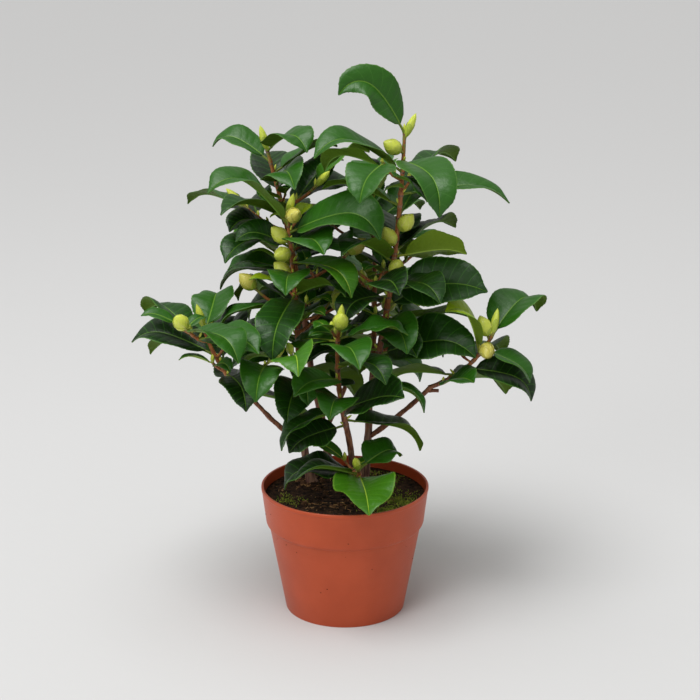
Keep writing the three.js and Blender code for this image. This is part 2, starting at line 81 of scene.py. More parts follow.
# %% Helpers for modelling
def select_only(*pieces):
    """Selects these pieces and no others. The last of them is the active one."""
    bpy.ops.object.select_all(action="DESELECT")
    for piece in pieces:
        piece.select_set(True)
        bpy.context.view_layer.objects.active = piece


def link(piece):
    bpy.context.scene.collection.objects.link(piece)
    return piece


def start_piece(name):
    piece = bpy.context.active_object
    piece.name = name
    piece.data.name = name
    select_only(piece)
    return piece


def edit(piece):
    select_only(piece)
    bpy.ops.object.mode_set(mode="EDIT")
    bpy.ops.mesh.select_all(action="SELECT")


def leave_edit():
    """Turns all faces outwards and goes back to object mode."""
    bpy.ops.mesh.select_all(action="SELECT")
    bpy.ops.mesh.normals_make_consistent(inside=False)
    bpy.ops.object.mode_set(mode="OBJECT")


def apply_modifiers(piece):
    select_only(piece)
    for name in [modifier.name for modifier in piece.modifiers]:
        bpy.ops.object.modifier_apply(modifier=name)


def settle(piece, slot, *replaced, angle=60):
    """Applies the place, smooths all but the sharp edges, and puts the piece on the root body."""
    select_only(piece)
    bpy.ops.object.transform_apply(location=True, rotation=True, scale=True)
    bpy.ops.object.shade_smooth_by_angle(angle=math.radians(angle))
    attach(piece, "root")
    if replaced:
        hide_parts(*replaced)
    triangles = sum(len(face.vertices) - 2 for face in piece.data.polygons)
    print(f"{piece.name}: {triangles} triangles")


# %% [markdown]
# ## Meshes from arrays
# A shrub has hundreds of leaves, scales and twigs. They are worked out with numpy and joined, each kind
# apart, because the export keeps joined meshes and drops particles. Each part gets a square of its own on a
# map for baking, so that no two parts share a spot of it.


# %% A mesh gathered part by part
MAP_MARGIN = 0.02
SPOT_REACH = 0.008


def packed(squares, margin):
    """The places of all squares, each square shrunk into one of its own on the map."""
    across = math.ceil(math.sqrt(len(squares)))
    shrink = 1 - 2 * margin
    places = [shrink * square + margin + divmod(i, across) for i, square in enumerate(squares)]
    return np.concatenate(places) / across


class Gathered:
    def __init__(self):
        self.points, self.faces, self.slots, self.squares = [], [], [], []
        self.count = 0

    def add(self, points, faces, slots, places):
        """slots is one slot, or one a face. places has one place on the map for each corner of each face."""
        self.points.append(points)
        self.faces += [tuple(i + self.count for i in face) for face in faces]
        self.slots += np.broadcast_to(slots, len(faces)).tolist()
        self.squares.append(places)
        self.count += len(points)

    def add_tube(self, parts, slot):
        points, faces, _, places = parts
        self.add(points, faces, slot, places)

    def make(self, name, materials):
        mesh = bpy.data.meshes.new(name)
        mesh.from_pydata((np.concatenate(self.points) * MM).tolist(), [], self.faces)
        for material in materials:
            mesh.materials.append(material)
        mesh.polygons.foreach_set("material_index", np.array(self.slots, dtype=np.int32))
        places = packed(self.squares, MAP_MARGIN)
        mesh.uv_layers.new(name="OFBake").data.foreach_set("uv", places.ravel().astype(np.float32))
        mesh.update()
        return link(bpy.data.objects.new(name, mesh))


def ring_places(corners, middle):
    """Places on the map for a small face with many corners."""
    turns = 2 * np.pi * np.arange(corners) / corners
    return np.array(middle) + SPOT_REACH * np.stack([np.cos(turns), np.sin(turns)], axis=1)


def in_square(places, low, high):
    """Squeezes places from the whole map into a part of it."""
    return np.array(low) + places * (np.array(high) - np.array(low))


def two_sided(front, back, kinds_at, front_map, back_map):
    """Faces, kinds and places of a grid of points and, turned round, of the grid behind it."""
    faces, kinds, places = [], [], []
    rows, columns = front.shape[0] - 1, front.shape[1] - 1
    for r in range(rows):
        for c in range(columns):
            corners = np.array([(c, r), (c + 1, r), (c + 1, r + 1), (c, r + 1)])
            faces.append(tuple(int(front[y, x]) for x, y in corners))
            faces.append(tuple(int(back[y, x]) for x, y in corners[::-1]))
            kinds += kinds_at(r, c)
            share = corners / (columns, rows)
            places += [in_square(share, *front_map), in_square(share[::-1], *back_map)]
    return faces, kinds, places


# %% [markdown]
# ## The rule of growth
# The shrub grows by one seeded rule: stems stand on the peat, boughs leave them, and each mass of foliage has
# one leader that grows on from a limb. Side twigs and leaves follow a spiral of 137.5 degrees. A leaf that
# would meet something is tried smaller, tilted or turned, and is left out where none of that helps.

# %% Sizes of the pot and the peat
RIM_RADIUS = 65
POT_HEIGHT = 100
COLLAR_HEIGHT = 28
COLLAR_TAPER = 3.5
STEP_DEPTH = 2.5
STEP_HEIGHT = 3.5
FOOT_RADIUS = 46.5
POT_WALL = 1.4
FLOOR_THICKNESS = 1.8
DRAIN_RADIUS = 4.5
DRAIN_CIRCLE = 31
DRAIN_COUNT = 6
PEAT_TOP = 92
GAP = 0.3

# %% Sizes of leaves, buds and shoots
SPIRAL_TURN = 137.5
LEAF_EVERY = 9
LEAF_LENGTH = 72
LEAF_WIDTH = 40
PETIOLE_LENGTH = 8
PETIOLE_RADIUS = 1.1
FOLD = 16
LEAF_STEPS = 24
RISE_AT_FOOT = -6
RISE_GAIN = 42
RISE_SPREAD = 20
CURL_LEAST = 50
CURL_SPREAD = 45
SWEEP_SPREAD = 30
ROLL_SPREAD = 50
SIZE_SPREAD = 0.25
WIDTH_LEAST = 0.9
WIDTH_SPREAD = 0.25
NODE_OFFSET = 0.6
HOOK_START = 0.5
HOOK_END = 0.95
LEAF_CLEARANCE = 4.6
WOOD_CLEARANCE = 5
BUD_CLEARANCE = 7.5
POINT_CLEARANCE = 5
POT_CLEARANCE = 4
OWN_REACH = 15
BUD_LENGTH = 17
BUD_RADIUS = 6.2
BUD_STALK = 3
POINT_LENGTH = 20
POINT_RADIUS = 3.2
POINT_STALK = 1
POINT_AT = 0.98
LEADER_RADII = (2.3, 1.3)
TWIG_RADII = (1.4, 1.0)
TWIG_LENGTH = 44
TWIG_SHORTEST = 0.8
TWIG_SPREAD = 0.4
TWIG_RISE = 30
TWIG_BOW = (0, 0, -3)
TWIG_LOW = 0.18
TWIG_HIGH = 0.85
TWIG_BARE = 0.3
TWIG_FIRST_LEAF = 90
BLADE_SKEW = 0.8
BLADE_FULLNESS = 0.7
BLADE_START = 0.05
FLOWER_SHARE = 0.5
FLOWER_ROOM = 3

# %% Limbs and masses, each as a few driving sizes
STEMS = {
    "stem_left": dict(foot=(-26, 24, PEAT_TOP), head=(-35, 18, 160), bow=(-2, 0, 0), radii=(3.3, 2.6)),
    "stem_right": dict(foot=(15, 25, PEAT_TOP), head=(19, 18, 166), bow=(1, 1, 0), radii=(3.5, 2.7)),
    "stem_front": dict(foot=(8, -12, PEAT_TOP), head=(2, -19, 150), bow=(1, 1, 0), radii=(2.9, 2.3)),
    "stem_back": dict(foot=(-12, 42, PEAT_TOP), head=(-26, 52, 170), bow=(2, 0, 0), radii=(3.3, 2.6)),
}
BOUGHS = {
    "bough_right_low": dict(parent="stem_right", at=0.52, head=(66, 5, 178), bow=(0, 0, -2), stub=(-12, 4)),
    "bough_left_low": dict(parent="stem_left", at=0.5, head=(-70, -2, 170), bow=(0, 0, -3)),
    "bough_back_low": dict(parent="stem_back", at=0.45, head=(6, 84, 168), bow=(0, 0, -3)),
}
BOUGH_RADII = (2.1, 1.8)
MASSES = {
    "foliage_right_tall": dict(
        on="stem_right", to=(44, 0, 376), bow=(4.5, -5, 0), bare=0.12, top=0.84, twigs=5, point=(0, 66)
    ),
    "foliage_left_tall": dict(
        on="stem_left", to=(-43, 0, 316), bow=(2, 0, 0), bare=0.1, top=0.88, twigs=5, point=(-50, 68)
    ),
    "foliage_back_tall": dict(on="stem_back", to=(-60, 52, 356), bow=(4, 3, 0), bare=0.1, twigs=6),
    "foliage_back_right": dict(on="stem_right", at=0.8, to=(20, 62, 322), bow=(4, 10, 0), bare=0.25, twigs=5),
    "foliage_right_low": dict(
        on="bough_right_low", to=(112, -6, 224), bow=(4, 0, -5), bare=0.1, top=0.8, twigs=2, point=(60, 66)
    ),
    "foliage_left_low": dict(on="bough_left_low", to=(-106, -14, 232), bow=(-4, 0, -5), bare=0.1, twigs=3),
    "foliage_back_low": dict(on="bough_back_low", to=(22, 104, 236), bow=(0, 5, -5), bare=0.1, twigs=3),
    "foliage_front": dict(on="stem_front", to=(-4, -38, 240), bow=(-4, 3, 0), bare=0.05, twigs=4),
    "foliage_foot": dict(on="stem_front", at=0.3, to=(10, -40, 128), bow=(2, 0, -2), bare=0.3, twigs=0),
}

# %% [markdown]
# ## Leaves and buds that make the outline
# Most leaves follow the rule, but the ones that draw the outline were placed one by one: where on the leader
# they stand, the way they point, how they rise, curl and roll, and their size. The last word is the green:
# leaves darken as they ripen.

# %% Leaves and buds that show
SEEN_LEAVES = [
    ("foliage_right_tall", 1.0, 196, 62, 120, 24, 76, 32, "mid"),
    ("foliage_right_tall", 0.86, 208, 38, 92, 12, 86, 36, "mid"),
    ("foliage_right_tall", 0.9, -68, 4, 106, 0, 84, 40, "mid"),
    ("foliage_right_tall", 0.78, 4, 10, 56, -8, 86, 36, "mid"),
    ("foliage_right_tall", 0.55, 6, 10, 34, 44, 56, 40, "fresh"),
    ("foliage_right_tall", 0.42, -12, 12, 34, -42, 76, 46, "dark"),
    ("foliage_right_tall", 0.3, 24, 4, 30, 20, 76, 36, "dark"),
    ("foliage_right_tall", 0.17, -22, 23, 66, -34, 84, 46, "dark"),
    ("foliage_right_low", 0.95, 42, 44, 125, 0, 66, 42, "mid"),
    ("foliage_right_low", 0.78, -36, -8, 60, 0, 46, 32, "mid"),
    ("foliage_right_low", 0.72, 224, 66, 96, 20, 56, 34, "young"),
    ("foliage_right_low", 0.14, -42, 24, 30, -20, 46, 30, "mid"),
    ("foliage_left_tall", 0.9, -28, 28, 96, -26, 88, 46, "mid"),
    ("foliage_left_tall", 0.75, -42, 8, 88, 0, 70, 34, "fresh"),
    ("foliage_left_tall", 0.94, 208, 52, 100, 10, 84, 42, "mid"),
    ("foliage_left_tall", 0.58, -106, -10, 84, 0, 74, 36, "dark"),
    ("foliage_front", 0.85, 138, -6, 44, 20, 52, 36, "fresh"),
    ("foliage_front", 0.6, -50, 24, 88, 0, 62, 34, "dark"),
    ("foliage_front", 0.2, -44, 28, 24, -30, 68, 48, "deep"),
    ("foliage_front", 0.06, 200, -8, 44, 20, 50, 38, "deep"),
    ("foliage_foot", 0.6, -84, 6, 40, 0, 68, 48, "fresh"),
    ("foliage_foot", 0.95, 30, 30, 90, -10, 42, 34, "mid"),
]
WAVY_LEAVES = {("foliage_foot", 0.6): 0.2, ("foliage_right_tall", 1.0): 0.12, ("foliage_front", 0.06): 0.14}
SEEN_LEAF_WORDS = ("mass", "along", "azimuth", "rise", "curl", "roll", "length", "width", "green")
SEEN_BUDS = [
    ("foliage_right_tall", 0.93, -150, 30),
    ("foliage_right_tall", 0.64, -24, 50),
    ("foliage_right_tall", 0.58, 205, 62),
    ("foliage_right_tall", 0.47, -56, 56),
    ("foliage_right_low", 0.88, -112, -16),
    ("foliage_right_low", 0.92, 150, 64),
    ("foliage_left_tall", 0.97, -62, 26),
    ("foliage_left_tall", 0.84, 184, 44),
    ("foliage_left_tall", 0.8, -126, 4),
    ("foliage_left_tall", 0.66, 170, 40),
    ("foliage_front", 0.96, -80, 50),
]
SEEN_BUD_WORDS = ("mass", "along", "azimuth", "rise")


# %% Chance, directions and curves
CHANCE_SHOOT, CHANCE_ITEM, CHANCE_USE, CHANCE_SCALE = 12.9898, 78.233, 37.719, 43758.5453
LENGTH_STEPS = 200


def chance(shoot, item, use):
    """A number from 0 to 1 that looks drawn but is the same each run."""
    x = math.sin(shoot * CHANCE_SHOOT + item * CHANCE_ITEM + use * CHANCE_USE) * CHANCE_SCALE
    return x - math.floor(x)


def direction(azimuth, rise):
    a, r = np.broadcast_arrays(np.radians(azimuth), np.radians(rise))
    return np.stack([np.cos(r) * np.cos(a), np.cos(r) * np.sin(a), np.sin(r)], axis=-1)


def angles_of(way):
    """The azimuth and the rise of a direction, in degrees."""
    return math.degrees(math.atan2(way[1], way[0])), math.degrees(math.asin(way[2]))


def smoothstep(low, high, x):
    t = np.clip((x - low) / (high - low), 0, 1)
    return t * t * (3 - 2 * t)


def limb_curve(foot, head, bow):
    """The foot, middle and head that steer a quadratic curve. The bow pushes its middle out."""
    foot, head, bow = (np.array(point, float) for point in (foot, head, bow))
    return np.stack([foot, (foot + head) / 2 + 2 * bow, head])


def curve_points(curve, shares):
    t = np.asarray(shares, float)[..., None]
    return (1 - t) ** 2 * curve[0] + 2 * t * (1 - t) * curve[1] + t**2 * curve[2]


def curve_tangents(curve, shares):
    t = np.asarray(shares, float)[..., None]
    tangent = (1 - t) * (curve[1] - curve[0]) + t * (curve[2] - curve[1])
    return tangent / np.linalg.norm(tangent, axis=-1, keepdims=True)


def curve_length(curve):
    points = curve_points(curve, np.linspace(0, 1, LENGTH_STEPS + 1))
    return np.linalg.norm(np.diff(points, axis=0), axis=1).sum()


# %% [markdown]
# ## A leaf as a line with two directions
# A leaf's midrib runs out from the shoot in equal steps. Its slope falls by an even curl, and again by a hook
# near the tip, as a camellia leaf's does. At each place it has a sideways and an upward direction, and the
# blade's halves fold up a little along it.


# %% The midrib and the blade's outline
def blade_shape(share):
    return np.power(np.maximum(0, np.sin(np.pi * np.power(share, BLADE_SKEW))), BLADE_FULLNESS)


def leaf_axes(leaf, shares):
    """The forward, sideways and upward directions at shares of a leaf's length."""
    bend = 0.5 * shares**2 + 0.5 * smoothstep(HOOK_START, HOOK_END, shares)
    azimuth = leaf["azimuth"] + leaf["sweep"] * shares
    forward = direction(azimuth, leaf["rise"] - leaf["curl"] * bend)
    level = direction(azimuth - 90, 0 * shares)
    above = np.cross(level, forward)
    roll = math.radians(leaf["roll"])
    side = level * math.cos(roll) + above * math.sin(roll)
    up = above * math.cos(roll) - level * math.sin(roll)
    return forward, side, up


def midrib(leaf):
    shares = np.arange(LEAF_STEPS) / LEAF_STEPS
    forward, _, _ = leaf_axes(leaf, shares)
    steps = np.cumsum(forward * leaf["length"] / LEAF_STEPS, axis=0)
    return leaf["base"] + np.vstack([np.zeros(3), steps])


def half_width(leaf, blade):
    return np.maximum(PETIOLE_RADIUS, 0.5 * leaf["width"] * blade_shape(np.clip(blade, 0, 1)))


LEAF_CHECKS = np.arange(2, LEAF_STEPS + 1, 2)
LEAF_ACROSS = np.array([-1, -0.5, 0, 0.5, 1])
TIP_HALF_WIDTH = 0.4


def leaf_points(leaf):
    """The points that stand for a leaf when its distance from others is measured."""
    shares = LEAF_CHECKS / LEAF_STEPS
    centre = midrib(leaf)[LEAF_CHECKS]
    _, side, up = leaf_axes(leaf, shares)
    blade = (shares * leaf["length"] - leaf["petiole"]) / (leaf["length"] - leaf["petiole"])
    half = half_width(leaf, blade)
    half[-1] = TIP_HALF_WIDTH
    fold = math.radians(FOLD)
    points = []
    for i in range(len(shares)):
        across = LEAF_ACROSS if blade[i] >= BLADE_START else LEAF_ACROSS[2:3]
        reach = across[:, None] * half[i]
        points.append(centre[i] + reach * math.cos(fold) * side[i] + abs(reach) * math.sin(fold) * up[i])
    return np.concatenate(points)


# %% Room that is taken
MOST_TAKEN = 1000
taken = []
taken_low = np.full((MOST_TAKEN, 3), np.inf)
taken_high = np.full((MOST_TAKEN, 3), -np.inf)


def take(points, distance, owner):
    taken_low[len(taken)] = points.min(axis=0) - distance
    taken_high[len(taken)] = points.max(axis=0) + distance
    taken.append((points, distance, owner))


def is_clear(points, base, shoot, extra=0):
    """True when no point comes too near anything taken. Close to its base, a piece may be near its shoot."""
    over_pot = np.hypot(points[:, 0], points[:, 1]) < RIM_RADIUS + POT_CLEARANCE
    if np.any(over_pot & (points[:, 2] < POT_HEIGHT + POT_CLEARANCE)):
        return False
    low, high = points.min(axis=0) - extra, points.max(axis=0) + extra
    away = points[np.linalg.norm(points - base, axis=1) > OWN_REACH]
    meets = np.all(taken_low <= high, axis=1) & np.all(taken_high >= low, axis=1)
    for number in np.flatnonzero(meets):
        group, distance, owner = taken[number]
        others = away if owner is shoot else points
        if len(others) and np.linalg.norm(group[:, None] - others[None], axis=2).min() < distance + extra:
            return False
    return True


# %% Limbs and leaders
LIMB_CHECKS = np.linspace(0, 1, 17)
LEADER_CHECKS = np.linspace(0, 1, 25)
limbs = {}
for name, stem in STEMS.items():
    foot = np.add(stem["foot"], (0, 0, GAP))
    limbs[name] = dict(curve=limb_curve(foot, stem["head"], stem["bow"]), radii=stem["radii"], stub=None)
for name, bough in BOUGHS.items():
    foot = curve_points(limbs[bough["parent"]]["curve"], bough["at"])
    curve = limb_curve(foot, bough["head"], bough["bow"])
    limbs[name] = dict(curve=curve, radii=BOUGH_RADII, stub=bough.get("stub"))
for limb in limbs.values():
    take(curve_points(limb["curve"], LIMB_CHECKS), WOOD_CLEARANCE, limb)

shoots = []
for name, mass in MASSES.items():
    carrier = limbs[mass["on"]]["curve"]
    root = curve_points(carrier, mass.get("at", 1))
    if "at" not in mass:
        root = root + GAP * curve_tangents(carrier, 1)
    leader = dict(
        mass=name,
        leader=True,
        curve=limb_curve(root, mass["to"], mass["bow"]),
        radii=LEADER_RADII,
        bare=mass["bare"],
        top=mass.get("top", 1),
        first=360 * chance(len(shoots), 0, 1),
        twigs=mass["twigs"],
        point=mass.get("point"),
    )
    shoots.append(leader)
    take(curve_points(leader["curve"], LEADER_CHECKS), WOOD_CLEARANCE, leader)
leaders = {shoot["mass"]: shoot for shoot in shoots}
print("limbs:", len(limbs), "leaders:", len(leaders))

# %% Buds and leaves that show are placed first
buds = []
leaves = []
BUD_CHECKS = np.array([0.25, 0.5, 0.8])


def bud_points(bud):
    forward = direction(bud["azimuth"], bud["rise"])
    return bud["base"] + (bud["stalk"] + bud["length"] * BUD_CHECKS)[:, None] * forward


def keep_bud(bud):
    buds.append(bud)
    take(bud_points(bud), BUD_CLEARANCE if bud["radius"] == BUD_RADIUS else POINT_CLEARANCE, bud)


def keep_leaf(leaf):
    leaves.append(leaf)
    take(leaf_points(leaf), LEAF_CLEARANCE, leaf)


for row in SEEN_BUDS:
    bud = dict(zip(SEEN_BUD_WORDS, row), length=BUD_LENGTH, radius=BUD_RADIUS, stalk=BUD_STALK)
    bud["base"] = curve_points(leaders[bud["mass"]]["curve"], bud["along"])
    keep_bud(bud)
for row in SEEN_LEAVES:
    leaf = dict(zip(SEEN_LEAF_WORDS, row), sweep=0, petiole=PETIOLE_LENGTH)
    leaf["base"] = curve_points(leaders[leaf["mass"]]["curve"], leaf["along"])
    leaf["wave"] = WAVY_LEAVES.get((leaf["mass"], leaf["along"]))
    keep_leaf(leaf)

# %% Twigs turn round their leader
TWIG_TURNS = (0, 25, -25, 50, -50, 75, -75)
TWIG_CHECKS = np.linspace(0, 1, 9)


def grow_twig(leader, number, t):
    along = TWIG_LOW + (TWIG_HIGH - TWIG_LOW) * (t + chance(number, t, 2)) / leader["twigs"]
    azimuth = leader["first"] + t * SPIRAL_TURN
    foot = curve_points(leader["curve"], along)
    length = TWIG_LENGTH * (TWIG_SHORTEST + TWIG_SPREAD * chance(number, t, 3))
    for turn in TWIG_TURNS:
        curve = limb_curve(foot, foot + length * direction(azimuth + turn, TWIG_RISE), TWIG_BOW)
        points = curve_points(curve, TWIG_CHECKS)
        if is_clear(points, foot, leader):
            twig = dict(mass=leader["mass"], leader=False, curve=curve, radii=TWIG_RADII)
            twig.update(bare=TWIG_BARE, top=1, first=azimuth + TWIG_FIRST_LEAF, point=None)
            shoots.append(twig)
            take(points, WOOD_CLEARANCE, twig)
            return


for number, leader in enumerate(list(shoots)):
    for t in range(leader["twigs"]):
        grow_twig(leader, number, t)

# %% Every shoot ends in a growing point, or some twigs in a flower bud
for number, shoot in enumerate(shoots):
    flower = not shoot["leader"] and chance(number, 0, 4) < FLOWER_SHARE
    azimuth, rise = shoot["point"] or angles_of(curve_tangents(shoot["curve"], 1))
    bud = dict(mass=shoot["mass"], azimuth=azimuth, rise=rise, stalk=POINT_STALK)
    bud["base"] = curve_points(shoot["curve"], POINT_AT)
    bud["length"] = BUD_LENGTH if flower else POINT_LENGTH
    bud["radius"] = BUD_RADIUS if flower else POINT_RADIUS
    if shoot["leader"] or is_clear(bud_points(bud), bud["base"], shoot, FLOWER_ROOM if flower else 0):
        keep_bud(bud)

# %% The rest of the leaves follow the spiral
SIZES = (1, 0.76)
TURNS = (0, 16, -16, 32, -32, 48, -48, 64, -64)
TILTS = (0, 16, -14, 30)


def turned(leaf):
    """The leaf as it is, and then tilted and turned more and more."""
    for tilt in TILTS:
        for turn in TURNS:
            yield dict(leaf, azimuth=leaf["azimuth"] + turn, rise=leaf["rise"] + tilt)


def grow_leaf(leaf):
    for size in SIZES:
        for tried in turned(dict(leaf, length=leaf["length"] * size, width=leaf["width"] * size)):
            if is_clear(leaf_points(tried), leaf["base"], leaf["shoot"]):
                keep_leaf(tried)
                return


for number, shoot in enumerate(shoots):
    share = shoot["top"] - shoot["bare"]
    count = math.floor(curve_length(shoot["curve"]) * share / LEAF_EVERY + 0.5)
    for i in reversed(range(count)):
        along = shoot["bare"] + share * (i + NODE_OFFSET) / count
        size = 1 - SIZE_SPREAD * chance(number, i, 5)
        leaf = dict(mass=shoot["mass"], shoot=shoot, along=along, base=curve_points(shoot["curve"], along))
        leaf["azimuth"] = shoot["first"] + i * SPIRAL_TURN
        leaf["sweep"] = SWEEP_SPREAD * (chance(number, i, 6) - 0.5)
        leaf["rise"] = RISE_AT_FOOT + RISE_GAIN * along + RISE_SPREAD * (chance(number, i, 10) - 0.5)
        leaf["curl"] = CURL_LEAST + CURL_SPREAD * chance(number, i, 9)
        leaf["roll"] = ROLL_SPREAD * (chance(number, i, 7) - 0.5)
        leaf["length"] = LEAF_LENGTH * size
        leaf["width"] = LEAF_WIDTH * size * (WIDTH_LEAST + WIDTH_SPREAD * chance(number, i, 8))
        leaf["petiole"] = PETIOLE_LENGTH
        grow_leaf(leaf)
print("shoots:", len(shoots), "leaves:", len(leaves), "buds:", len(buds))
print("leaf bases add up to", np.round(sum(leaf["base"] for leaf in leaves), 3))

# %% [markdown]
# ## Finer twigs
# The rule is carried one step further than the solids need. In the axils stand spurs, short shoots with a
# tiny growing point and two small leaves, or three where there is room inside the reach of their own mass.

# %% Spurs and their small leaves
SPUR_EVERY = 13
SPUR_LOW = 0.2
SPUR_REACH = 0.75
SPUR_LENGTH = 13
SPUR_SHORTEST = 0.75
SPUR_SPREAD = 0.5
SPUR_RISE = 40
SPUR_BOW = (0, 0, -1)
SPUR_RADII = (0.95, 0.75)
SPUR_TURN = 65
SPUR_CHECKS = np.array([0.5, 0.75, 1, 1.4])
SPUR_LEAF_SHARES = (1.0, 0.78, 0.5)
SPUR_LEAST_LEAVES = 2
SPUR_NUMBERS = 100
SMALL_TURN = 40
SMALL_RISE = (26, 20)
SMALL_CURL = (40, 50)
SMALL_LENGTH = 34
SMALL_SPREAD = 0.4
SMALL_WIDTH = 0.5
SMALL_PETIOLE = 3
SMALL_POINT = dict(stalk=0.5, length=7, radius=1.7)
POINT_LIFT = 45
STEEPEST_POINT = 88
OFF_SHOOT = 3.5
OFF_SHOOT_CHECKS = np.linspace(0, 1, 97)
MASS_BOXES = {mass: np.array(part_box(mass)) / MM for mass in MASSES}
spurs = []
small_leaves = []


def in_mass(points, mass):
    low, high = MASS_BOXES[mass]
    return bool(np.all(points > low) and np.all(points < high))


def off_shoot(points, shoot):
    """True when no point comes near the line of a shoot, however close to its base."""
    line = curve_points(shoot["curve"], OFF_SHOOT_CHECKS)
    return np.linalg.norm(points[:, None] - line[None], axis=2).min() > OFF_SHOOT


def small_leaf(spur, number, i):
    leaf = dict(mass=spur["mass"], shoot=spur, along=SPUR_LEAF_SHARES[i], petiole=SMALL_PETIOLE, small=True)
    leaf["base"] = curve_points(spur["curve"], leaf["along"])
    leaf["azimuth"] = spur["azimuth"] + SPIRAL_TURN * i + SMALL_TURN * (chance(number, i, 20) - 0.5)
    leaf["rise"] = SMALL_RISE[0] + SMALL_RISE[1] * chance(number, i, 21)
    leaf["curl"] = SMALL_CURL[0] + SMALL_CURL[1] * chance(number, i, 22)
    leaf["sweep"] = SWEEP_SPREAD * (chance(number, i, 23) - 0.5)
    leaf["roll"] = ROLL_SPREAD * (chance(number, i, 24) - 0.5)
    leaf["length"] = SMALL_LENGTH * (1 - SMALL_SPREAD * chance(number, i, 25))
    leaf["width"] = SMALL_WIDTH * leaf["length"]
    return leaf


def grow_small_leaf(leaf, parent):
    for tried in turned(leaf):
        points = leaf_points(tried)
        off = in_mass(points, leaf["mass"]) and off_shoot(points, parent)
        if off and is_clear(points, leaf["base"], parent):
            return tried
    return None


def grow_spur(parent, number, s, along):
    foot = curve_points(parent["curve"], along)
    for turn in TURNS:
        azimuth = parent["first"] + s * SPIRAL_TURN + SPUR_TURN + turn
        length = SPUR_LENGTH * (SPUR_SHORTEST + SPUR_SPREAD * chance(number, s, 18))
        curve = limb_curve(foot, foot + length * direction(azimuth, SPUR_RISE), SPUR_BOW)
        spur = dict(mass=parent["mass"], leader=False, curve=curve, radii=SPUR_RADII, azimuth=azimuth)
        points = curve_points(curve, SPUR_CHECKS)
        if not (in_mass(points, parent["mass"]) and is_clear(points, foot, parent)):
            continue
        marks = len(taken)
        grown = []
        for i in range(len(SPUR_LEAF_SHARES)):
            leaf = grow_small_leaf(small_leaf(spur, SPUR_NUMBERS * number + s, i), parent)
            if leaf:
                grown.append(leaf)
                take(leaf_points(leaf), LEAF_CLEARANCE, leaf)
        if len(grown) >= SPUR_LEAST_LEAVES:
            take(points, WOOD_CLEARANCE, spur)
            spurs.append(spur)
            small_leaves.extend(grown)
            return
        for mark in range(marks, len(taken)):
            taken_low[mark], taken_high[mark] = np.inf, -np.inf
        del taken[marks:]


for number, shoot in enumerate(shoots):
    count = math.floor(curve_length(shoot["curve"]) * SPUR_REACH / SPUR_EVERY)
    for s in range(count):
        grow_spur(shoot, number, s, SPUR_LOW + SPUR_REACH * (s + 0.5) / count)
for spur in spurs:
    azimuth, rise = angles_of(curve_tangents(spur["curve"], 1))
    rise = min(rise + POINT_LIFT, STEEPEST_POINT)
    base = curve_points(spur["curve"], POINT_AT)
    buds.append(dict(SMALL_POINT, mass=spur["mass"], azimuth=azimuth, rise=rise, base=base))
print("spurs:", len(spurs), "small leaves:", len(small_leaves))

# %% [markdown]
# ## Leaves turned one by one
# In the photo the top leaf shows its face to the front, and the flower bud below it stands free. The rule
# can't know that, so that leaf is rolled towards the viewer, and the twig leaf that hid the bud hangs down
# beside it. Three leaves and a bud on the low right shoot are turned apart, because their full shapes would
# cut each other or the shoot.

# %% Turn the leaves and the bud
TURNED_LEAVES = {
    ("foliage_right_tall", 1.0): dict(roll=58, length=74),
    ("foliage_right_low", 0.72): dict(azimuth=208, rise=76),
    ("foliage_right_low", 0.78): dict(azimuth=-20, rise=-14),
    ("foliage_right_low", 0.14): dict(azimuth=-60),
}
LEAF_BEFORE_BUD = ("foliage_right_tall", 994)
LEAF_HANGS = dict(azimuth=974, rise=0, curl=70)
BUD_BESIDE_LEAF = ("foliage_right_low", -112)
BUD_TURNED_TO = -98
for leaf in leaves[: len(SEEN_LEAVES)]:
    leaf.update(TURNED_LEAVES.get((leaf["mass"], leaf["along"]), {}))
before_bud = next(leaf for leaf in leaves if (leaf["mass"], round(leaf["azimuth"])) == LEAF_BEFORE_BUD)
before_bud.update(LEAF_HANGS)
beside_leaf = next(bud for bud in buds if (bud["mass"], bud["azimuth"]) == BUD_BESIDE_LEAF)
beside_leaf["azimuth"] = BUD_TURNED_TO
print("turned:", len(TURNED_LEAVES), "leaves, one more at", np.round(before_bud["base"]), "and a bud")

# %% [markdown]
# ## Finishes
# Each finish is a small node tree. A number that is the same all over is set on the shader itself, so that it
# survives the export. Colours that belong to a place on the plant, such as a young leaf or a pale midrib, are
# plain colours dealt out face by face.


# %% Helpers for finishes
def paint(red, green, blue):
    """A colour as seen on a screen, from 0 to 255, as the linear numbers that shaders take."""
    shares = np.array([red, green, blue]) / 255
    linear = np.where(shares <= 0.04045, shares / 12.92, ((shares + 0.055) / 1.055) ** 2.4)
    return (*(float(v) for v in linear), 1.0)


def noise_on(tree, scale, along=1, detail=3):
    """Noise on Object coordinates, in metres. A small number along draws it out upwards."""
    place = tree.nodes.new("ShaderNodeTexCoord")
    mapping = tree.nodes.new("ShaderNodeMapping")
    mapping.inputs["Scale"].default_value = (1, 1, along)
    pattern = tree.nodes.new("ShaderNodeTexNoise")
    pattern.inputs["Scale"].default_value = scale
    pattern.inputs["Detail"].default_value = detail
    tree.links.new(place.outputs["Object"], mapping.inputs["Vector"])
    tree.links.new(mapping.outputs["Vector"], pattern.inputs["Vector"])
    return pattern.outputs["Fac"]


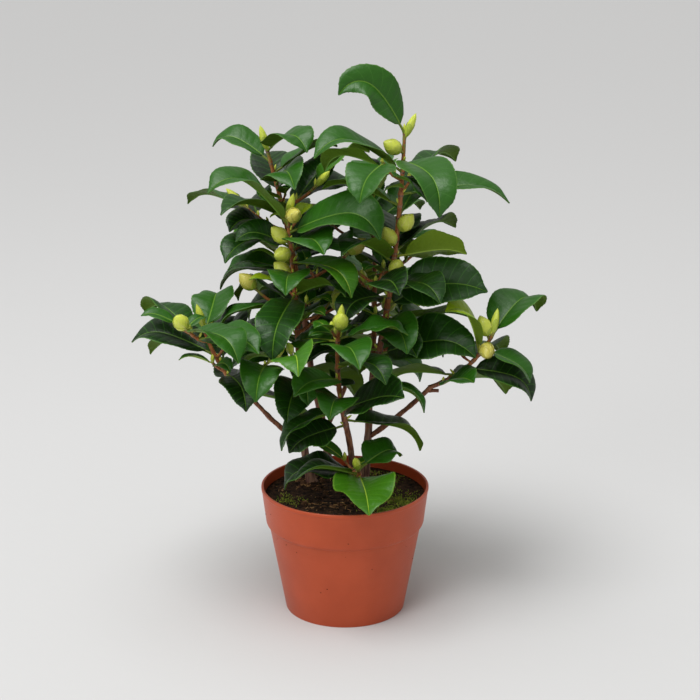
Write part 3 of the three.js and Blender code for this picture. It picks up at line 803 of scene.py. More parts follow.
def new_finish(name, colour, roughness, specular, tint=None, relief=None, ends=(0.35, 0.65)):
    """A tint is a noise and two colours, placed by the ends. A relief is a noise and a height in metres."""
    material = bpy.data.materials.new(name)
    material.use_nodes = True
    material.diffuse_color = paint(*colour)
    tree = material.node_tree
    shader = tree.nodes["Principled BSDF"]
    shader.inputs["Base Color"].default_value = paint(*colour)
    shader.inputs["Roughness"].default_value = roughness
    shader.inputs["Specular IOR Level"].default_value = specular
    if tint:
        pattern = noise_on(tree, *tint[0])
        ramp = tree.nodes.new("ShaderNodeValToRGB")
        for stop, place, shade in zip(ramp.color_ramp.elements, ends, tint[1:]):
            stop.position = place
            stop.color = paint(*shade)
        tree.links.new(pattern, ramp.inputs["Fac"])
        tree.links.new(ramp.outputs["Color"], shader.inputs["Base Color"])
    if relief:
        pattern = noise_on(tree, *relief[0])
        bump = tree.nodes.new("ShaderNodeBump")
        bump.inputs["Strength"].default_value = 1.0
        bump.inputs["Distance"].default_value = relief[1]
        tree.links.new(pattern, bump.inputs["Height"])
        tree.links.new(bump.outputs["Normal"], shader.inputs["Normal"])
    return material


# %% Leaf finishes: each part's roughness, specular, grain and its height, then its colours
TOP_GREENS = {
    "deep": (17, 48, 5),
    "dark": (24, 64, 7),
    "mid": (36, 86, 9),
    "fresh": (55, 107, 12),
    "young": (148, 178, 20),
}
LEAF_PARTS = {
    "top": (0.4, 0.36, 240, 0.0005, TOP_GREENS),
    "under": (0.6, 0.25, 420, 0.0004, dict(ripe=(80, 110, 20), soft=(112, 140, 32))),
    "vein": (0.4, 0.4, 420, 0.0002, dict(ripe=(44, 94, 16), fresh=(70, 122, 22), soft=(150, 180, 36))),
    "rib": (0.45, 0.35, 500, 0.0002, dict(ripe=(98, 138, 44), soft=(150, 180, 58))),
    "edge": (0.5, 0.35, 500, 0.0002, dict(ripe=(66, 108, 34), soft=(86, 130, 28))),
    "stalk": (0.5, 0.35, 600, 0.0002, dict(ripe=(104, 122, 36), soft=(146, 158, 48))),
}
leaf_finishes = []
LEAF_SLOTS = {}
for part, (roughness, specular, grain, height, colours) in LEAF_PARTS.items():
    for age, colour in colours.items():
        LEAF_SLOTS[part, age] = len(leaf_finishes)
        name = "_".join(["leaf", *(word for word in (part, age) if word not in ("top", "ripe"))])
        leaf_finishes.append(new_finish(name, colour, roughness, specular, relief=[(grain,), height]))
print("leaf finishes:", len(leaf_finishes))

# %% [markdown]
# ## One leaf
# A camellia leaf is a leathery oval with a drawn-out tip, fine teeth and a sunken midrib. Its side veins run
# forward to the edge and the blade bulges between them, which breaks up its gloss. So the grid's rows lean
# forward as the veins do, and each vein has a narrow row of its own.

# %% Sizes of a blade
VEIN_SHARES = np.linspace(0.12, 0.86, 8)
VEIN_GAP = VEIN_SHARES[1] - VEIN_SHARES[0]
VEIN_HALF = 0.004
VEIN_LEAN = 0.11
FIRST_ROWS = [0, 0.04, 0.08]
LAST_ROWS = [0.9, 0.93, 0.96, 0.98, 1]
FINE_SIDES = [0.22, 0.45, 0.7, 0.96, 1.0]
SMALL_ROWS = [0, 0.05, 0.14, 0.26, 0.4, 0.54, 0.68, 0.8, 0.89, 0.95, 1]
SMALL_SIDES = [0.45, 0.93, 1.0]
RIB_HALF = 0.65
RIB_WIDEST = 0.14
RIB_THINNING = 0.6
RIB_GROOVE = 0.25
RIB_RIDGE = 0.75
SMALL_SHARES = (0.6, 0.5, 0.8)
BLADE_HALF_THICK = 0.24
TIP_NARROWING = 0.35
TIP_SHARES = (0.84, 0.97)
FOLD_SHAPE = (1.28, 0.36)
QUILT = 0.4
QUILT_STARTS = (0.04, 0.3)
QUILT_ENDS = (0.8, 1)
WAVE_LEAST = 0.05
WAVE_SPREAD = 0.08
WAVES_LEAST = 1.4
WAVES_SPREAD = 1.2
WAVE_SHIFT = 0.35
TOOTH = 0.45
TEETH_SHARES = (0.1, 0.9)
TOP, UNDER, VEIN, RIB, EDGE, STALK = range(6)
TOP_OF_MAP = ((0, 0), (0.45, 1))
UNDER_OF_MAP = ((0.47, 0), (0.92, 1))
STALK_OF_MAP = ((0.94, 0.06), (1, 1))
FOOT_OF_MAP = (0.95, 0.02)
TIP_OF_MAP = (0.98, 0.02)


# %% The faces of a blade, the same for every leaf of its kind
def fine_rows():
    """The rows' shares of the blade, and the numbers of the narrow rows that are veins."""
    rows, veins = [*FIRST_ROWS], []
    for vein in VEIN_SHARES:
        veins.append(len(rows))
        rows += [vein - VEIN_HALF, vein + VEIN_HALF]
        if vein < VEIN_SHARES[-1]:
            rows += [vein + VEIN_GAP / 3, vein + VEIN_GAP * 2 / 3]
    return rows + LAST_ROWS, veins


def blade_grid(rows, veins, sides):
    """A top grid and an underside grid that share the leaf's edge."""
    row_count, column_count = len(rows), 2 * len(sides) + 3
    top = np.arange(row_count * column_count).reshape(row_count, column_count)
    under = top.copy()
    under[:, 1:-1] = top.size + np.arange(row_count * (column_count - 2)).reshape(row_count, -1)
    middle = column_count // 2

    def kinds_at(r, c):
        if c in (middle - 1, middle):
            return RIB, RIB
        return EDGE if c in (0, column_count - 2) else VEIN if r in veins else TOP, UNDER

    faces, kinds, places = two_sided(top, under, kinds_at, TOP_OF_MAP, UNDER_OF_MAP)
    for r, turn, spot in ((0, 1, FOOT_OF_MAP), (-1, -1, TIP_OF_MAP)):
        ring = [int(i) for i in (*top[r, ::-1], *under[r, 1:-1])]
        faces.append(tuple(ring[::turn]))
        kinds.append(RIB)
        places.append(ring_places(len(ring), spot))
    grid = dict(rows=np.array(rows), sides=np.array(sides), faces=faces, kinds=kinds)
    return dict(grid, places=np.concatenate(places))


FINE_BLADE = blade_grid(*fine_rows(), FINE_SIDES)
SMALL_BLADE = blade_grid(SMALL_ROWS, [], SMALL_SIDES)
print("faces of a blade:", len(FINE_BLADE["faces"]), "or, where it is small,", len(SMALL_BLADE["faces"]))


# %% Places along a midrib, between its equal steps
def between(points, shares):
    last = len(points) - 1
    place = np.clip(np.asarray(shares) * last, 0, last)
    i = np.minimum(place.astype(int), last - 1)
    t = (place - i)[..., None]
    before, start = points[np.maximum(i - 1, 0)], points[i]
    end, after = points[i + 1], points[np.minimum(i + 2, last)]
    bend = 2 * before - 5 * start + 4 * end - after
    twist = 3 * start - before - 3 * end + after
    return start + 0.5 * ((end - before) * t + bend * t**2 + twist * t**3)


# %% The points of a blade
def blade_points(leaf, number, grid):
    row = grid["rows"][:, None]
    half = half_width(leaf, grid["rows"])
    rib = np.minimum(RIB_HALF * (1 - RIB_THINNING * grid["rows"]) / half, RIB_WIDEST)
    sides = np.broadcast_to(grid["sides"], (len(row), len(grid["sides"])))
    across = np.hstack([-sides[:, ::-1], -rib[:, None], 0 * row, rib[:, None], sides])
    reach = np.abs(across)
    blade = row + VEIN_LEAN * reach * 4 * row * (1 - row)
    width = half_width(leaf, blade) * (1 - TIP_NARROWING * smoothstep(*TIP_SHARES, blade))
    width[-1] = TIP_HALF_WIDTH
    shares = (blade * (leaf["length"] - leaf["petiole"]) + leaf["petiole"]) / leaf["length"]
    centre = between(midrib(leaf), shares)
    _, side, up = leaf_axes(leaf, shares)
    fold = math.radians(FOLD)
    toothed = (reach == 1) * (row > TEETH_SHARES[0]) * (row < TEETH_SHARES[1])
    teeth = TOOTH * (np.arange(len(row))[:, None] % 2) * toothed
    sideways = across * width * math.cos(fold) + np.sign(across) * teeth
    window = smoothstep(*QUILT_STARTS, reach) * (1 - smoothstep(*QUILT_ENDS, reach))
    quilt = QUILT * np.sin(np.pi * (row - VEIN_SHARES[0]) / VEIN_GAP) ** 2 * window
    waves = WAVES_LEAST + WAVES_SPREAD * chance(number, 2, 12)
    phase = 2 * np.pi * (waves * row + chance(number, 1, 12) + WAVE_SHIFT * (across > 0))
    swing = leaf.get("wave") or WAVE_LEAST + WAVE_SPREAD * chance(number, 3, 12)
    wave = swing * width * np.sin(phase) * reach**2
    height = reach * (FOLD_SHAPE[0] - FOLD_SHAPE[1] * reach**2) * width * math.sin(fold) + quilt + wave
    surface = centre + sideways[..., None] * side + height[..., None] * up
    thick = BLADE_HALF_THICK * (reach < 1)
    groove = RIB_GROOVE * (reach == 0)
    ridge = RIB_RIDGE * (1 - RIB_THINNING * row) * (reach == 0)
    if leaf.get("small"):
        groove, ridge, thick = (share * size for share, size in zip(SMALL_SHARES, (groove, ridge, thick)))
    top = surface + (thick - groove)[..., None] * up
    under = surface - (thick + ridge)[..., None] * up
    return np.concatenate([top.reshape(-1, 3), under[:, 1:-1].reshape(-1, 3)])


# %% [markdown]
# ## Tubes
# Petioles, twigs and leaders are round sticks along a line. Each ring is turned on from the one before it, so
# that the sides never twist.


# %% A closed tube along points
TUBE_OF_MAP = ((0, 0.04), (1, 1))
TUBE_ENDS_OF_MAP = ((0.02, 0.02), (0.06, 0.02))
UPRIGHT = 0.9


def square_to(way):
    """A line square to another one, and level unless that one stands up."""
    return np.cross((0, 0, 1) if abs(way[2]) < UPRIGHT else (0, 1, 0), way)


def tube(points, radii, sides):
    """Points, faces, each face's ring and the places on the map. radii has one a ring, or one a point."""
    count = len(points)
    tangents = np.gradient(points, axis=0)
    tangents /= np.linalg.norm(tangents, axis=1, keepdims=True)
    side = square_to(tangents[0])
    radii = np.broadcast_to(np.asarray(radii, float).reshape(count, -1), (count, sides))
    angles = 2 * np.pi * np.arange(sides) / sides
    rings = np.empty((count, sides, 3))
    for i, tangent in enumerate(tangents):
        side = side - tangent * (side @ tangent)
        side /= np.linalg.norm(side)
        other = np.cross(tangent, side)
        circle = np.cos(angles)[:, None] * side + np.sin(angles)[:, None] * other
        rings[i] = points[i] + radii[i][:, None] * circle
    faces, numbers, places = [], [], []
    for i in range(count - 1):
        for j in range(sides):
            k = (j + 1) % sides
            faces.append((i * sides + j, i * sides + k, (i + 1) * sides + k, (i + 1) * sides + j))
            numbers.append(i)
            places += [(j, i), (j + 1, i), (j + 1, i + 1), (j, i + 1)]
    places = in_square(np.array(places) / (sides, count - 1), *TUBE_OF_MAP)
    faces.append(tuple(reversed(range(sides))))
    faces.append(tuple(range((count - 1) * sides, count * sides)))
    numbers += [0, count - 1]
    ends = [ring_places(sides, spot) for spot in TUBE_ENDS_OF_MAP]
    return rings.reshape(-1, 3), faces, numbers, np.concatenate([places, *ends])


# %% The petiole swells where it meets the shoot, and runs on under the midrib
PETIOLE_SIDES = 8
PETIOLE_SHARES = np.array([0, 0.12, 0.35, 0.7, 1.0, 1.35])
PETIOLE_RADII = np.array([1.5, 1.35, 1.05, 0.95, 0.9, 0.45])
PETIOLE_SINK = 0.35
SINK_SHARES = (0.6, 1)
PETIOLE_SLIM = (0.4, 0.6)


def petiole(leaf):
    shares = PETIOLE_SHARES * leaf["petiole"] / leaf["length"]
    _, _, up = leaf_axes(leaf, shares)
    sink = PETIOLE_SINK * smoothstep(*SINK_SHARES, PETIOLE_SHARES)[:, None]
    slim = min(1, PETIOLE_SLIM[0] + PETIOLE_SLIM[1] * leaf["petiole"] / PETIOLE_LENGTH)
    return tube(between(midrib(leaf), shares) - sink * up, slim * PETIOLE_RADII, PETIOLE_SIDES)


# %% [markdown]
# ## Leaves of each mass
# Camellia leaves are all of one kind but not of one green: old ones inside the crown are nearly black-green,
# the ones near a tip are lighter, and a few have only just opened.


# %% Choose each leaf's green and join the leaves of a mass
NEAR_TIP = 0.85
GREEN_SHARES = {
    "small": [(0.12, "young"), (0.45, "fresh"), (1, "mid")],
    "near tip": [(0.35, "fresh"), (1, "mid")],
    "inside": [(0.34, "deep"), (0.74, "dark"), (1, "mid")],
}


def leaf_green(leaf, number):
    if "green" in leaf:
        return leaf["green"]
    kind = "small" if leaf.get("small") else "near tip" if leaf["along"] > NEAR_TIP else "inside"
    luck = chance(number, 7, 11)
    return next(green for share, green in GREEN_SHARES[kind] if luck < share)


def leaf_slots(green):
    """The slot of each kind of face, in the order TOP, UNDER, VEIN, RIB, EDGE, STALK."""
    age = "soft" if green in ("young", "fresh") else "ripe"
    vein = {"young": "soft", "fresh": "fresh"}.get(green, "ripe")
    return [LEAF_SLOTS[pair] for pair in zip(LEAF_PARTS, (green, age, vein, age, age, age))]


for mass in MASSES:
    gathered = Gathered()
    for number, leaf in enumerate(leaves + small_leaves):
        if leaf["mass"] != mass:
            continue
        slots = leaf_slots(leaf_green(leaf, number))
        grid = SMALL_BLADE if leaf.get("small") else FINE_BLADE
        blade = blade_points(leaf, number, grid)
        stalk, stalk_faces, _, stalk_places = petiole(leaf)
        faces = grid["faces"] + [tuple(i + len(blade) for i in face) for face in stalk_faces]
        places = np.concatenate([grid["places"], in_square(stalk_places, *STALK_OF_MAP)])
        kinds = grid["kinds"] + [STALK] * len(stalk_faces)
        gathered.add(np.concatenate([blade, stalk]), faces, [slots[kind] for kind in kinds], places)
    settle(gathered.make(mass.replace("foliage", "leaves"), leaf_finishes), "foliage", mass)

# %% [markdown]
# ## Leaders and twigs
# Young camellia shoots are orange-brown and smooth, and turn grey-brown as they age. They swell a little at
# each leaf. The change of colour is dealt out ring by ring, with a ragged border.

# %% Bark finishes
BARKS = [
    ("old", (122, 86, 70), 0.62, [(500, 0.2), (92, 60, 52), (156, 120, 98)], [(900, 0.15, 5), 0.0005]),
    ("ripe", (128, 80, 56), 0.55, [(600, 0.25), (104, 58, 44), (156, 102, 68)], [(1100, 0.2, 4), 0.0003]),
    ("young", (158, 94, 50), 0.5, [(700, 0.3), (140, 76, 42), (178, 116, 62)], [(1300, 0.3), 0.0002]),
    ("green", (134, 130, 60), 0.5, None, [(1300,), 0.0002]),
]
TWIG_FINISHES = [new_finish(f"bark_{age}", colour, rough, 0.4, *rest) for age, colour, rough, *rest in BARKS]
bark_old, bark_ripe, _, bark_green = TWIG_FINISHES
OLD, RIPE, YOUNG, GREEN = range(4)

# %% Sticks with a swelling at each leaf
TWIG_SIDES = 12
RING_EVERY = 1.6
RING_WOBBLE = 0.12
NODE_SWELL = 0.35
NODE_REACH = 1.8
SCAR_BELOW = 2.4
SUNK = 2
FAR_AWAY = 9
RAGGED = 0.06
TWIG_GREEN_FROM = 0.8
LEADER_YOUNG_FROM = 0.3
LEADER_GREEN_FROM = 0.95


def leaves_on(shoot):
    """How far along a shoot each of its leaves stands."""
    owners = ((leaf, leaf.get("shoot", leaders[leaf["mass"]])) for leaf in leaves + small_leaves)
    return [leaf["along"] for leaf, owner in owners if owner is shoot]


def shoot_slot(shoot, share, scar, luck):
    ragged = share + RAGGED * (luck - 0.5)
    if scar:
        return OLD if shoot["leader"] else RIPE
    if not shoot["leader"]:
        return YOUNG if ragged < TWIG_GREEN_FROM else GREEN
    if ragged < LEADER_YOUNG_FROM:
        return RIPE
    return YOUNG if ragged < LEADER_GREEN_FROM else GREEN


def thinned(start, end, shares):
    return start + (end - start) * shares


def foot_radius(shoot):
    """A leader that stands on the head of a limb starts as thick as the limb ends."""
    mass = MASSES[shoot["mass"]]
    if shoot["leader"] and "at" not in mass:
        return limbs[mass["on"]]["radii"][1]
    return shoot["radii"][0]


gathered = Gathered()
for number, shoot in enumerate(shoots + spurs):
    length = curve_length(shoot["curve"])
    count = round(length / RING_EVERY) + 1
    shares = np.linspace(-SUNK / length if shoot["leader"] else 0, 1, count)
    from_leaf = (shares[:, None] - np.array([*leaves_on(shoot), FAR_AWAY])) * length
    radii = thinned(foot_radius(shoot), shoot["radii"][1], shares)
    radii = radii + (NODE_SWELL * np.exp(-((from_leaf / NODE_REACH) ** 2))).sum(axis=1)
    scars = np.any((from_leaf < -SCAR_BELOW + RING_EVERY) & (from_leaf > -SCAR_BELOW), axis=1)
    wobble = np.array([chance(number, i, 13) - 0.5 for i in range(count * TWIG_SIDES)])
    radii = radii[:, None] + RING_WOBBLE * wobble.reshape(count, TWIG_SIDES)
    points, faces, numbers, places = tube(curve_points(shoot["curve"], shares), radii, TWIG_SIDES)
    lucks = [chance(number, f, 14) for f in range(len(faces))]
    slots = [shoot_slot(shoot, n / (count - 1), scars[n], luck) for n, luck in zip(numbers, lucks)]
    gathered.add(points, faces, slots, places)
settle(gathered.make("twigs", TWIG_FINISHES), "bark")

# %% [markdown]
# ## Buds
# A camellia bud is an egg wrapped in overlapping scales, small ones at its foot and large ones round its top,
# each with a paler, slightly dry edge. One bud is worked out along +Z, and every bud is a copy of it, turned,
# stretched and placed.

# %% Bud finishes
BUD_FINISHES = [
    new_finish(name, colour, roughness, 0.5, relief=relief)
    for name, colour, roughness, relief in [
        ("bud_scale", (208, 218, 82), 0.36, [(900, 0.4), 0.0003]),
        ("bud_scale_low", (168, 186, 62), 0.42, [(900, 0.4), 0.0003]),
        ("bud_edge", (222, 222, 132), 0.5, [(1200,), 0.0002]),
        ("bud_point", (204, 216, 76), 0.42, [(900, 0.4), 0.0003]),
        ("bud_scale_gold", (198, 190, 82), 0.4, [(900, 0.4), 0.0003]),
    ]
]
SCALE, LOW_SCALE, SCALE_EDGE, POINT_SCALE, BUD_FOOT, GOLD_SCALE = range(6)
BUD_FINISHES.insert(BUD_FOOT, bark_green)


# %% The egg and its scales, at a length and radius of 1
EGG_SKEW = 0.9
EGG_FULLNESS = (0.56, 0.26)
SCALE_UP = np.array([0, 0.2, 0.42, 0.64, 0.82, 0.955, 1])[:, None]
SCALE_ACROSS = np.array([-1, -0.94, -0.5, 0, 0.5, 0.94, 1])[None]
SCALE_GRID = len(SCALE_UP)
SCALE_THICK = 0.035
SCALE_TUCK = 0.018
SCALE_CURL = 0.02
SCALE_ARCH = 0.06
SCALE_POINT = (3.5, 0.004)
SCALE_SEAT = 0.3
OUTSIDE_OF_MAP = ((0, 0), (0.49, 1))
INSIDE_OF_MAP = ((0.51, 0), (1, 1))
BUD_MARGIN = 0.03
EGG_ENDS = (0.02, 0.995)


def egg(t):
    fullness = EGG_FULLNESS[0] + EGG_FULLNESS[1] * t
    return np.power(np.maximum(np.sin(np.pi * np.power(t, EGG_SKEW)), 0), fullness)


def bud_scale_mesh(turn, start, end, spread, lift, flat_slot):
    """A scale is a patch on the egg from start to end of its height, with its left side tucked under."""
    u, v = SCALE_ACROSS, SCALE_UP
    angle = turn + u * spread * np.sqrt(np.maximum(1 - v ** SCALE_POINT[0], SCALE_POINT[1]))
    t = start + (end - start) * v * (1 - SCALE_ARCH * u**2)
    out = egg(t) + (lift + SCALE_TUCK * u) * np.minimum(1, SCALE_SEAT + egg(t)) + SCALE_CURL * v**4 * egg(t)
    grid = np.arange(SCALE_GRID**2).reshape(SCALE_GRID, SCALE_GRID)
    back = grid.copy()
    back[1:-1, 1:-1] = grid.size + np.arange((SCALE_GRID - 2) ** 2).reshape(SCALE_GRID - 2, -1)

    def sheet(far):
        return np.stack([far * np.cos(angle), far * np.sin(angle), t + 0 * u], axis=-1)

    def slots_at(r, c):
        rim = c in (0, SCALE_GRID - 2) or r == SCALE_GRID - 2
        return SCALE_EDGE if rim else flat_slot, flat_slot

    faces, slots, places = two_sided(grid, back, slots_at, OUTSIDE_OF_MAP, INSIDE_OF_MAP)
    inner = sheet(out - SCALE_THICK)[1:-1, 1:-1]
    points = np.concatenate([sheet(out).reshape(-1, 3), inner.reshape(-1, 3)])
    return points, faces, slots, np.concatenate(places)


def turned_egg(slot, sides=12, rings=9):
    t = np.linspace(*EGG_ENDS, rings)
    points, faces, _, places = tube(np.stack([0 * t, 0 * t, t], axis=-1), egg(t), sides)
    return points, faces, slot, places


# %% The kinds of bud
def unit_bud(tiers, core_slot):
    """Tiers of scales from the top of the bud to its foot: start, end, spread, lift, turn and slot."""
    gathered = Gathered()
    gathered.add(*turned_egg(core_slot))
    for start, end, spread, lift, turn, slot in tiers:
        for i in range(3):
            angle = math.radians(turn + 120 * i)
            gathered.add(*bud_scale_mesh(angle, start, end, math.radians(spread), lift, slot))
    places = packed(gathered.squares, BUD_MARGIN)
    return np.concatenate(gathered.points), gathered.faces, gathered.slots, places


FLOWER_TIERS = [
    (0.2, 0.995, 86, 0.03, 0, SCALE),
    (0.12, 0.8, 80, 0.06, 60, SCALE),
    (0.05, 0.58, 72, 0.09, 20, SCALE),
    (0.02, 0.34, 62, 0.12, 80, LOW_SCALE),
]
SLIM_TIERS = [(0.2, 0.97, 70, 0.05, 0, POINT_SCALE), (0.03, 0.6, 64, 0.11, 60, LOW_SCALE)]
FLOWER_BUD = unit_bud(FLOWER_TIERS, SCALE)
SLIM_BUD = unit_bud(SLIM_TIERS, POINT_SCALE)
AXIL_BUD = turned_egg(POINT_SCALE, sides=8, rings=6)


# %% Place the buds
def turn_to(forward, spin):
    """Columns that carry +Z to a direction, with a spin about it."""
    side = square_to(forward)
    side /= np.linalg.norm(side)
    other = np.cross(forward, side)
    c, s = math.cos(spin), math.sin(spin)
    return np.stack([c * side + s * other, c * other - s * side, forward], axis=1)


BUD_SLIMMING = 0.88
GOLD_SHARE = 0.3
STALK_RADII = np.array([1.4, 1.3, 1.2])
STALK_SIDES = 8
STALK_WAIST = 0.6
STALK_SUNK = 1
STALK_SLIMMEST = 0.5
STALK_FULL_AT = 6
AXIL_LENGTH = 4.5
AXIL_SPREAD = 2
AXIL_LIFT = 42
AXIL_OUT = 1.2
gathered = Gathered()
for number, bud in enumerate(buds):
    forward = direction(bud["azimuth"], bud["rise"])
    points, faces, slots, places = FLOWER_BUD if bud["radius"] == BUD_RADIUS else SLIM_BUD
    if chance(number, 5, 17) < GOLD_SHARE:
        slots = [GOLD_SCALE if slot == SCALE else slot for slot in slots]
    size = np.array([bud["radius"] * BUD_SLIMMING, bud["radius"] * BUD_SLIMMING, bud["length"]])
    carry = turn_to(forward, 2 * np.pi * chance(number, 3, 15))
    start = bud["base"] + bud["stalk"] * forward
    gathered.add((points * size) @ carry.T + start, faces, slots, places)
    stalk = bud["base"] + np.outer([0, STALK_WAIST * bud["stalk"], bud["stalk"] + STALK_SUNK], forward)
    slim = min(1, STALK_SLIMMEST + bud["radius"] / STALK_FULL_AT)
    gathered.add_tube(tube(stalk, STALK_RADII * slim, STALK_SIDES), BUD_FOOT)
for number, leaf in enumerate(leaves):
    forward = direction(leaf["azimuth"], min(leaf["rise"] + AXIL_LIFT, STEEPEST_POINT))
    points, faces, slots, places = AXIL_BUD
    size = np.array([1.0, 1.0, AXIL_LENGTH + AXIL_SPREAD * chance(number, 4, 16)])
    points = (points * size) @ turn_to(forward, 0).T + leaf["base"] + AXIL_OUT * forward
    gathered.add(points, faces, slots, places)
settle(gathered.make("buds", BUD_FINISHES), "foliage", angle=50)

# %% [markdown]
# ## Stems and boughs
# The limbs are curves with a round section that thins upwards. They are turned into meshes and roughened: the
# bark of a young camellia is fairly smooth, with shallow cracks along it. A stem swells where it enters the
# peat, and reaches a little into it.

# %% A round limb and its bark
STEM_FLARE = 1.8
FLARE_SHARE = 0.09
STUB_AT = 0.94
STUB_LENGTH = 9
STUB_RADII = (1.6, 1.3)
STUB_RINGS = 9
LIMB_RINGS = 96
LIMB_ROUNDNESS = 8
AXIS_POINTS = 200
ON_AXIS = 0.5
FOOT_SUNK = 2.5
BARK_CRACK = 0.22
CRACK_SCALE = (900, 900, 120)
BARK_LUMP = 0.35
LUMP_SCALE = (160, 160, 90)
OLD_SHARE = 0.62
OLD_RAGGED = 0.35
RAGGED_SCALE = (300, 300, 120)


def round_limb(name, points, radii):
    line = bpy.data.curves.new(name, "CURVE")
    line.dimensions = "3D"
    line.bevel_depth = MM
    line.bevel_resolution = LIMB_ROUNDNESS
    line.use_fill_caps = True
    spline = line.splines.new("POLY")
    spline.points.add(len(points) - 1)
    for point, place, radius in zip(spline.points, points, radii):
        point.co = (*(place * MM), 1)
        point.radius = radius
    select_only(link(bpy.data.objects.new(name, line)))
    bpy.ops.object.convert(target="MESH")
    return start_piece(name)


def noise_at(place, scale):
    return noise.noise(Vector(np.array(place) * scale))


def roughen(piece, curve):
    """Moves each point of a limb in or out of its axis, by cracks along it and broad lumps."""
    axis = curve_points(curve, np.linspace(0, 1, AXIS_POINTS)) * MM
    for vertex in piece.data.vertices:
        place = np.array(vertex.co)
        outward = place - axis[np.argmin(np.linalg.norm(axis - place, axis=1))]
        reach = np.linalg.norm(outward)
        if reach >= ON_AXIS * MM:
            depth = BARK_CRACK * noise_at(place, CRACK_SCALE) + BARK_LUMP * noise_at(place, LUMP_SCALE)
            vertex.co = place + outward / reach * MM * depth


# %% Make the limbs
for name, limb in limbs.items():
    stem = name in STEMS
    curve = limb["curve"]
    shares = np.linspace(0, 1, LIMB_RINGS)
    points = curve_points(curve, shares)
    radii = thinned(*limb["radii"], shares)
    if stem:
        radii = radii + STEM_FLARE * np.exp(-shares / FLARE_SHARE)
        points = np.vstack([points[0] - (0, 0, FOOT_SUNK), points])
        radii = np.append(radii[0], radii)
    piece = round_limb(f"bark_{name}", points, radii)
    if limb["stub"]:
        line = np.outer(np.linspace(0, STUB_LENGTH, STUB_RINGS), direction(*limb["stub"]))
        stub = round_limb("stub", curve_points(curve, STUB_AT) + line, np.linspace(*STUB_RADII, STUB_RINGS))
        select_only(stub, piece)
        bpy.ops.object.join()
    roughen(piece, curve)
    piece.data.materials.append(bark_ripe)
    piece.data.materials.append(bark_old)
    for face in piece.data.polygons:
        share = (face.center.z / MM - curve[0][2]) / (curve[2][2] - curve[0][2])
        ragged = share + OLD_RAGGED * noise_at(face.center, RAGGED_SCALE)
        face.material_index = int(stem and ragged < OLD_SHARE)
    settle(piece, "bark", name)

# %% [markdown]
# ## The pot
# A thin moulded pot: a disc is extruded up ring by ring to the rim, over it and down inside to the floor, its
# corners are bevelled, and six drain holes are cut through the base. The plastic is plain and a little
# mottled, and the top of the rim has a painted highlight, a lighter colour where it catches the light.

# %% Pot finishes
PLASTIC_TINT = [(30, 1, 6), (174, 70, 33), (189, 79, 41)]
PLASTIC_GRAIN = [(1400, 1, 2), 0.00012]
pot_plastic = new_finish("pot_plastic", (182, 74, 36), 0.42, 0.36, PLASTIC_TINT, PLASTIC_GRAIN, (0.3, 0.7))
# The rim's finish is lighter than the plastic: a painted highlight along the top of the rim.
pot_rim_highlight = new_finish("pot_rim_highlight", (186, 82, 48), 0.42, 0.4, relief=PLASTIC_GRAIN)

# %% The pot's outline, as radius and height
POT_SIDES = 128
STEP_TOP = POT_HEIGHT - COLLAR_HEIGHT
BODY_TOP = RIM_RADIUS - COLLAR_TAPER - STEP_DEPTH
COLLAR_FOOT = RIM_RADIUS - COLLAR_TAPER
LIP = 0.5
LIP_HEIGHT = 2.4
LIP_SLOPES = (3, 3.4)
BEAD = 0.45
STEP_BEND = (0.5, 0.4)
POT_OUTSIDE = [
    (FOOT_RADIUS, 0),
    (BODY_TOP, STEP_TOP - STEP_HEIGHT),
    (COLLAR_FOOT - STEP_BEND[0], STEP_TOP - STEP_BEND[1] * STEP_HEIGHT),
    (COLLAR_FOOT, STEP_TOP),
    (RIM_RADIUS - BEAD, POT_HEIGHT - LIP_SLOPES[0]),
    (RIM_RADIUS, POT_HEIGHT - LIP_HEIGHT),
    (RIM_RADIUS, POT_HEIGHT),
]
POT_INSIDE = [
    (RIM_RADIUS - POT_WALL - LIP, POT_HEIGHT),
    (RIM_RADIUS - POT_WALL - LIP, POT_HEIGHT - LIP_HEIGHT),
    (RIM_RADIUS - POT_WALL - LIP, POT_HEIGHT - LIP_SLOPES[1]),
    (COLLAR_FOOT - POT_WALL, STEP_TOP),
    (BODY_TOP - POT_WALL, STEP_TOP - STEP_HEIGHT),
    (FOOT_RADIUS - POT_WALL, FLOOR_THICKNESS),
]

# %% Raise the pot from a disc
def raise_ring(step, share, **centre):
    """Extrudes the selected ring up by a step in millimetres, and widens it by a share."""
    bpy.ops.mesh.extrude_region_move(TRANSFORM_OT_translate={"value": (0, 0, step * MM)})
    bpy.ops.transform.resize(value=(share, share, 1), **centre)


select_only()
bpy.ops.mesh.primitive_circle_add(vertices=POT_SIDES, radius=FOOT_RADIUS * MM, fill_type="NGON")
pot = start_piece("pot_shell")
edit(pot)
outline = POT_OUTSIDE + POT_INSIDE
for (radius, height), (next_radius, next_height) in zip(outline, outline[1:]):
    raise_ring(next_height - height, next_radius / radius, center_override=(0, 0, next_height * MM))
leave_edit()
print("pot rings:", len(pot.data.vertices) // POT_SIDES)

# %% Round its corners and cut the drain holes
CORNER_ROUND = 0.45
CORNER_STEPS = 3
CORNER_FROM = 12
DRILL_SIDES = 32
DRILL_LENGTH = 10
